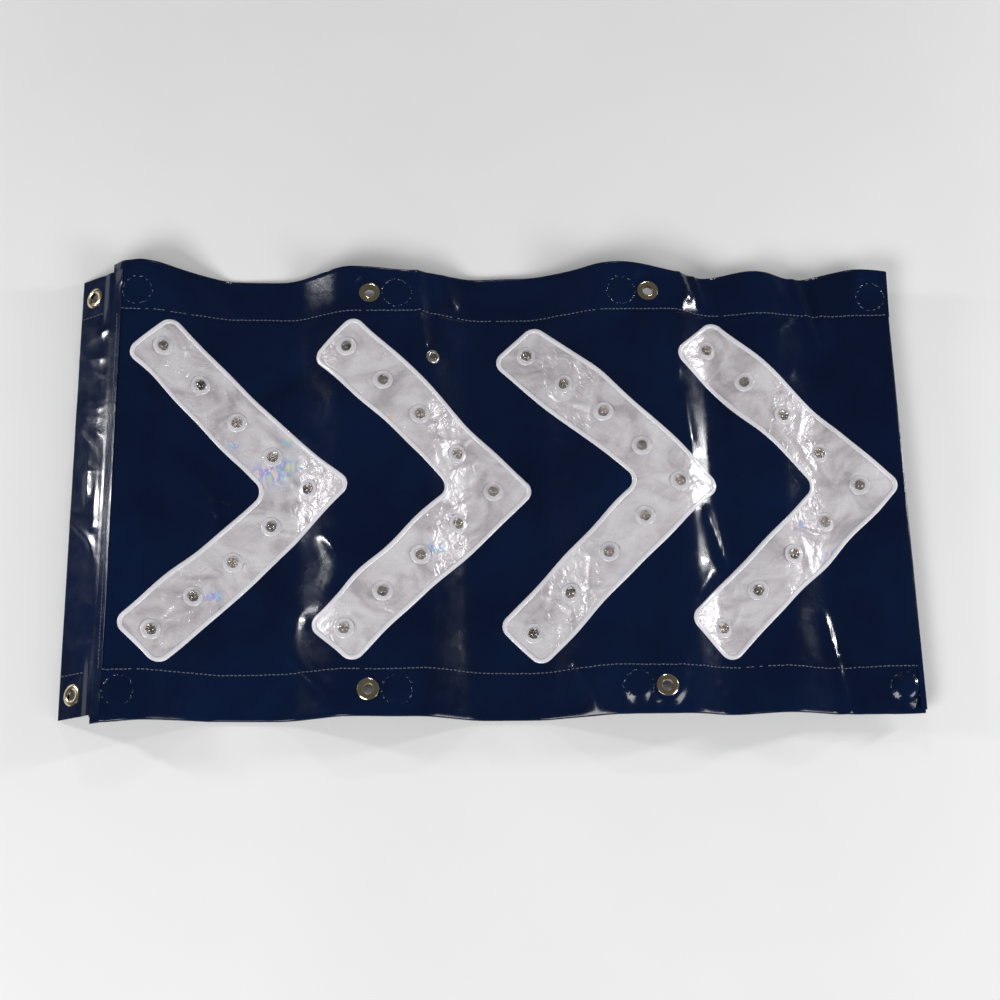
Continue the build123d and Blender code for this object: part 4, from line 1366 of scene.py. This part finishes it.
    def rim(self) -> bpy.types.Object:
        """The welded border: a low round bead along the chevron's edge.

        Returns:
            The finished piece.
        """
        middle = self.outline(self.border / 2)
        ahead = np.roll(middle, -1, 0) - np.roll(middle, 1, 0)
        ahead /= np.linalg.norm(ahead, axis=1, keepdims=True)
        side = np.stack([ahead[:, 1], -ahead[:, 0]], 1)
        dice = np.random.default_rng(20 + self.number)
        phase = np.linspace(0, 2 * math.pi, len(middle), endpoint=False)
        waver = sum(dice.uniform(0.1, 0.35) * MM * np.sin(k * phase + dice.uniform(0, 6))
                    for k in range(5, 17))
        across = (-1.0, -0.86, -0.5, 0.0, 0.5, 0.86, 1.0)
        rings = []
        for place in across:
            spot = middle + side * (place * self.border / 2 + waver)[:, None]
            rise = self.border_rise * math.sqrt(max(0.0, 1 - place * place)) + 0.35 * MM
            z = self.drape.front(spot[:, 0], spot[:, 1]) + rise
            rings.append(np.stack([spot[:, 0], spot[:, 1], z], 1))
        for place in (0.9, -0.9):
            spot = middle + side * (place * self.border / 2 + waver)[:, None]
            z = self.drape.front(spot[:, 0], spot[:, 1]) + 0.05 * MM
            rings.append(np.stack([spot[:, 0], spot[:, 1], z], 1))
        count, around = len(rings), len(middle)
        points = np.concatenate(rings)
        faces = [
            (r * around + i, ((r + 1) % count) * around + i,
             ((r + 1) % count) * around + (i + 1) % around, r * around + (i + 1) % around)
            for r in range(count)
            for i in range(around)
        ]
        piece = Workshop.cloth(f"rim_{self.number + 1}", points, faces)
        Workshop.take(piece)
        bpy.ops.object.mode_set(mode="EDIT")
        bpy.ops.mesh.select_all(action="SELECT")
        bpy.ops.mesh.normals_make_consistent(inside=False)
        bpy.ops.object.mode_set(mode="OBJECT")
        Workshop.smooth(piece, 70)
        Workshop.dress(piece, Finish.RIM, "white_rim")
        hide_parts(f"chevron_rim_{self.number + 1}")
        return piece

    def lenses(self) -> bpy.types.Object:
        """The nine lenses: a clear dome with a well for the lamp, on a milky flange whose bright tone is
        partly a painted ring highlight.

        Returns:
            The finished piece.
        """
        outer = [(r * MM, z * MM) for r, z in self.lens_profile]
        pattern = Workshop.turned("lens_pattern", outer, 36)
        for finish in (Finish.LENS, Finish.FLANGE, Finish.WELL):
            pattern.data.materials.append(finish.material())
        for polygon in pattern.data.polygons:
            corners = [pattern.data.vertices[i].co for i in polygon.vertices]
            away = max(corner.xy.length for corner in corners)
            bottom = max(corner.z for corner in corners) < -0.4 * MM
            outside = away > 6.3 * MM or (bottom and away > 4.5 * MM)
            polygon.material_index = 1 if outside else 2 if bottom else 0
        places = []
        dice = np.random.default_rng(90 + self.number)
        for x, y in self.layout.lamps[self.number]:
            normal = self.layout.front.normal(x)
            z = float(self.layout.front.at(np.array([x]))[0]) + 0.1 * MM
            turn = Vector((0, 0, 1)).rotation_difference(normal).to_matrix().to_4x4()
            spin = Matrix.Rotation(dice.uniform(0, 6.28), 4, "Z")
            places.append(Matrix.Translation((x, y, z)) @ turn @ spin)
        piece = Workshop.stamp(f"lenses_{self.number + 1}", pattern, places)
        Workshop.smooth(piece, 40)
        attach(piece, "sheet")
        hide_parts(f"lamp_lenses_{self.number + 1}")
        return piece

    def build(self) -> list[bpy.types.Object]:
        """Make the chevron's three pieces."""
        return [self.film(), self.rim(), self.lenses()]


# ---------------------------------------------------------------- sewing and welding
@dataclass
class Trimmings:
    """Sewing along the hems and the seam, and the weld marks around each magnet."""

    layout: Layout
    drape: Drape
    stitch: float = 3.3 * MM
    gap: float = 1.1 * MM
    thread: float = 0.55 * MM
    thread_inset: float = 0.6 * MM
    on_hem: float = 0.62 * MM
    on_seam: float = 1.25 * MM
    on_flap: float = 0.15 * MM
    marks: int = 14
    mark_radius: float = 15.8 * MM

    def thread_pattern(self, length: float, radius: float, flat: float) -> bpy.types.Object:
        """One stitch or weld mark: a short bar with rounded ends.

        Args:
            length: Overall length in metres.
            radius: Half its width.
            flat: Height as a share of its width.

        Returns:
            The bar along X.
        """
        Workshop.deselect()
        bpy.ops.mesh.primitive_cylinder_add(vertices=6, radius=radius, depth=length * 0.6,
                                            rotation=(0, math.pi / 2, 0))
        piece = bpy.context.object
        bpy.ops.object.transform_apply(rotation=True)
        bpy.ops.object.mode_set(mode="EDIT")
        bpy.ops.mesh.select_all(action="DESELECT")
        work = bmesh.from_edit_mesh(piece.data)
        for direction in (-1, 1):
            for face in work.faces:
                face.select_set(face.normal.x * direction > 0.9)
            bmesh.update_edit_mesh(piece.data)
            bpy.ops.mesh.extrude_region_move(
                TRANSFORM_OT_translate={"value": (direction * length * 0.2, 0, 0)})
            bpy.ops.transform.resize(value=(1, 0.45, 0.45), center_override=(0, 0, 0))
            work = bmesh.from_edit_mesh(piece.data)
        bpy.ops.mesh.select_all(action="SELECT")
        bpy.ops.transform.resize(value=(1, 1, flat), center_override=(0, 0, 0))
        bpy.ops.object.mode_set(mode="OBJECT")
        return piece

    def lie(self, x: float, y: float, turn: float, rise: float, face: Surface) -> Matrix:
        """A place on the cloth, turned in plan and tilted with it.

        Args:
            x: Place along the sheet, in metres.
            y: Place across it.
            turn: Turn in plan, in radians.
            rise: Height above the face.
            face: Height of the face by place.

        Returns:
            The place as a matrix.
        """
        px, py = np.array([x, x + MM, x]), np.array([y, y, y + MM])
        z = face(px, py)
        across = Vector((1, 0, (z[1] - z[0]) / MM)).normalized()
        up = across.cross(Vector((0, 1, (z[2] - z[0]) / MM))).normalized()
        tilt = Matrix((across, up.cross(across), up)).transposed().to_4x4()
        return Matrix.Translation((x, y, float(z[0]) + rise)) @ tilt @ Matrix.Rotation(turn, 4, "Z")

    def hem_sewing(self) -> bpy.types.Object:
        """Stitches along both hems, with the small unevenness of sewing.

        Returns:
            The finished piece.
        """
        dice = np.random.default_rng(3)
        places = []
        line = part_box("hem_stitching")[1].y - self.thread_inset
        for side in Side:
            for x in np.arange(self.layout.left + 4 * MM, self.layout.right - 4 * MM, self.stitch + self.gap):
                y = side.value * (line + dice.normal(0, 0.12) * MM + 0.5 * MM * math.sin(x * 40))
                if dice.uniform() < 0.05:
                    continue
                places.append(self.lie(x, y, dice.normal(0, 0.05), self.on_hem, self.drape.front))
        return self.sew("hem_thread", places, "hem_stitching", "sheet")

    def seam_sewing(self) -> bpy.types.Object:
        """Stitches along the seam beside the flap.

        Returns:
            The finished piece.
        """
        dice = np.random.default_rng(4)
        low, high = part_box("seam_stitching")
        middle = (low.x + high.x) / 2
        places = [
            self.lie(middle + dice.normal(0, 0.15) * MM, y, math.pi / 2 + dice.normal(0, 0.05), self.on_seam,
                     self.drape.front)
            for y in np.arange(-self.layout.hem, self.layout.hem, self.stitch + self.gap)
        ]
        return self.sew("seam_thread", places, "seam_stitching", "sheet")

    def flap_sewing(self) -> bpy.types.Object:
        """Stitches where the hem lines run on over the flap.

        Returns:
            The finished piece.
        """
        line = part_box("flap_stitching")[1].y - self.thread_inset
        flap = self.layout.flap
        places = [
            self.lie(x, side.value * line, 0, self.on_flap, LinkFlap(self.layout, self.drape).face)
            for side in Side
            for x in np.arange(flap.low + 3 * MM, flap.high - 4 * MM, self.stitch + self.gap)
        ]
        return self.sew("flap_thread", places, "flap_stitching", "flap")

    def sew(self, name: str, places: list[Matrix], node: str, body: str) -> bpy.types.Object:
        """Stamp a row of stitches and dress it.

        Args:
            name: Name of the finished piece.
            places: Where the stitches lie.
            node: The CAD node that it stands for.
            body: The body that it moves with.

        Returns:
            The finished piece.
        """
        pattern = self.thread_pattern(self.stitch, self.thread, 0.6)
        piece = Workshop.stamp(name, pattern, places)
        Workshop.smooth(piece, 80)
        Workshop.dress(piece, Finish.THREAD, "thread", body)
        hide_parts(node)
        return piece

    def weld_marks(self) -> bpy.types.Object:
        """Raised weld marks in a broken ring around each magnet.

        Returns:
            The finished piece.
        """
        dice = np.random.default_rng(8)
        places = []
        for mx, my in self.layout.magnets:
            for k in range(self.marks):
                turn = 2 * math.pi * (k + dice.uniform(-0.2, 0.2)) / self.marks
                radius = self.mark_radius + dice.normal(0, 0.35) * MM
                x, y = mx + radius * math.cos(turn), my + radius * math.sin(turn)
                along = turn + math.pi / 2 + dice.normal(0, 0.15)
                place = self.lie(x, y, along, self.on_hem, self.drape.front)
                places.append(place @ Matrix.Diagonal((dice.uniform(0.7, 1.25), 1, 1, 1)))
        pattern = self.thread_pattern(4.6 * MM, 0.95 * MM, 0.62)
        piece = Workshop.stamp("weld_marks", pattern, places)
        Workshop.smooth(piece, 80)
        Workshop.dress(piece, Finish.WELD, "navy_pvc")
        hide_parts("weld_rings")
        return piece

    def build(self) -> list[bpy.types.Object]:
        """Make all trimmings."""
        return [self.hem_sewing(), self.seam_sewing(), self.flap_sewing(), self.weld_marks()]


# ---------------------------------------------------------------- studio
@dataclass
class Softbox:
    """A rectangular studio light aimed at the sheet's middle."""

    name: str
    place: tuple[float, float, float]
    width: float
    depth: float
    power: float

    def build(self) -> None:
        """Hang the light."""
        Workshop.deselect()
        bpy.ops.object.light_add(type="AREA", location=self.place)
        lamp = bpy.context.object
        lamp.name = self.name
        lamp.data.shape = "RECTANGLE"
        lamp.data.size, lamp.data.size_y = self.width, self.depth
        lamp.data.energy = self.power
        lamp.rotation_euler = (-Vector(self.place)).to_track_quat("-Z", "Y").to_euler()


@dataclass
class Studio:
    """A pale table, soft lights with a few narrow ones for crisp streaks, and the camera."""

    distance: float = 1.94197
    elevation: float = 70.72
    azimuth: float = -9.72
    roll: float = 9.07
    aim: tuple[float, float, float] = (0.00863, -0.01531, 0.020)
    focal: float = 64.8
    table_size: float = 8.0
    table_drop: float = 0.2 * MM
    room_light: float = 0.10
    lights: tuple[Softbox, ...] = (
        Softbox("key_light", (-1.3, -1.9, 1.9), 1.6, 1.0, 50),
        Softbox("fill_light", (2.1, -1.3, 1.5), 1.2, 1.0, 30),
        Softbox("left_strip", (-2.1, 0.62, 0.72), 0.10, 0.40, 14),
        Softbox("right_strip", (2.1, 0.66, 0.76), 0.10, 0.38, 15),
        Softbox("far_strip", (0.15, 1.9, 1.25), 0.45, 0.05, 4),
    )

    def floor(self) -> None:
        """Lay a pale table top with soft edges far away."""
        Workshop.deselect()
        bpy.ops.mesh.primitive_plane_add(size=self.table_size, location=(0, 0, -self.table_drop))
        table = bpy.context.object
        table.name = "studio_floor"
        bpy.ops.object.transform_apply(location=True)
        s = Shader("pale_table")
        s.colour(s.ramp(s.noise(0.4, 3), (0.3, (0.90, 0.90, 0.90)), (0.7, (0.94, 0.94, 0.94))))
        s.roughness(s.span(s.noise(0.05, 3), 0.3, 0.7, 0.7, 0.85))
        table.data.materials.append(s.material)

    def sky(self) -> None:
        """Light the room evenly and dimly."""
        world = bpy.data.worlds.new("room")
        world.use_nodes = True
        background = world.node_tree.nodes["Background"]
        background.inputs["Color"].default_value = (1, 1, 1, 1)
        background.inputs["Strength"].default_value = self.room_light
        bpy.context.scene.world = world

    def camera(self) -> None:
        """Stand the camera at its angle, distance and roll."""
        az, el, roll = (math.radians(v) for v in (self.azimuth, self.elevation, self.roll))
        back = Vector((math.sin(az) * math.cos(el), -math.cos(az) * math.cos(el), math.sin(el)))
        right = (-back).cross(Vector((0, 0, 1))).normalized()
        up = right.cross(-back)
        across = right * math.cos(roll) + up * math.sin(roll)
        upward = up * math.cos(roll) - right * math.sin(roll)
        Workshop.deselect()
        bpy.ops.object.camera_add(location=(0, 0, 0))
        camera = bpy.context.object
        turn = Matrix((across, upward, back)).transposed().to_4x4()
        camera.matrix_world = Matrix.Translation(Vector(self.aim) + back * self.distance) @ turn
        camera.data.lens = self.focal
        bpy.context.scene.camera = camera

    def build(self) -> None:
        """Set up everything around the object."""
        self.floor()
        self.sky()
        for light in self.lights:
            light.build()
        self.camera()
        bpy.context.scene.view_settings.view_transform = "Standard"


def dress_cad_nodes() -> None:
    """Give every CAD node that stays its own finish."""
    for finish, nodes in CAD_FINISHES.items():
        for name in nodes:
            mesh = frame["nodes"][name].data
            mesh.materials.clear()
            mesh.materials.append(finish.material())


def main() -> None:
    """Build the studio and every piece in order."""
    logging.basicConfig(level=logging.INFO, format="%(message)s")
    Workshop.deselect()
    Studio().build()
    dress_cad_nodes()
    layout = Layout()
    drape = Drape(layout)
    pieces = Tarpaulin(layout, drape).build()
    pieces.append(LinkFlap(layout, drape).build())
    for number in range(layout.chevrons):
        pieces += ChevronFace(layout, drape, number).build()
    pieces += Trimmings(layout, drape).build()
    for piece in pieces:
        LOG.info("%s: %d faces", piece.name, len(piece.data.polygons))


if __name__ == "__main__":
    main()
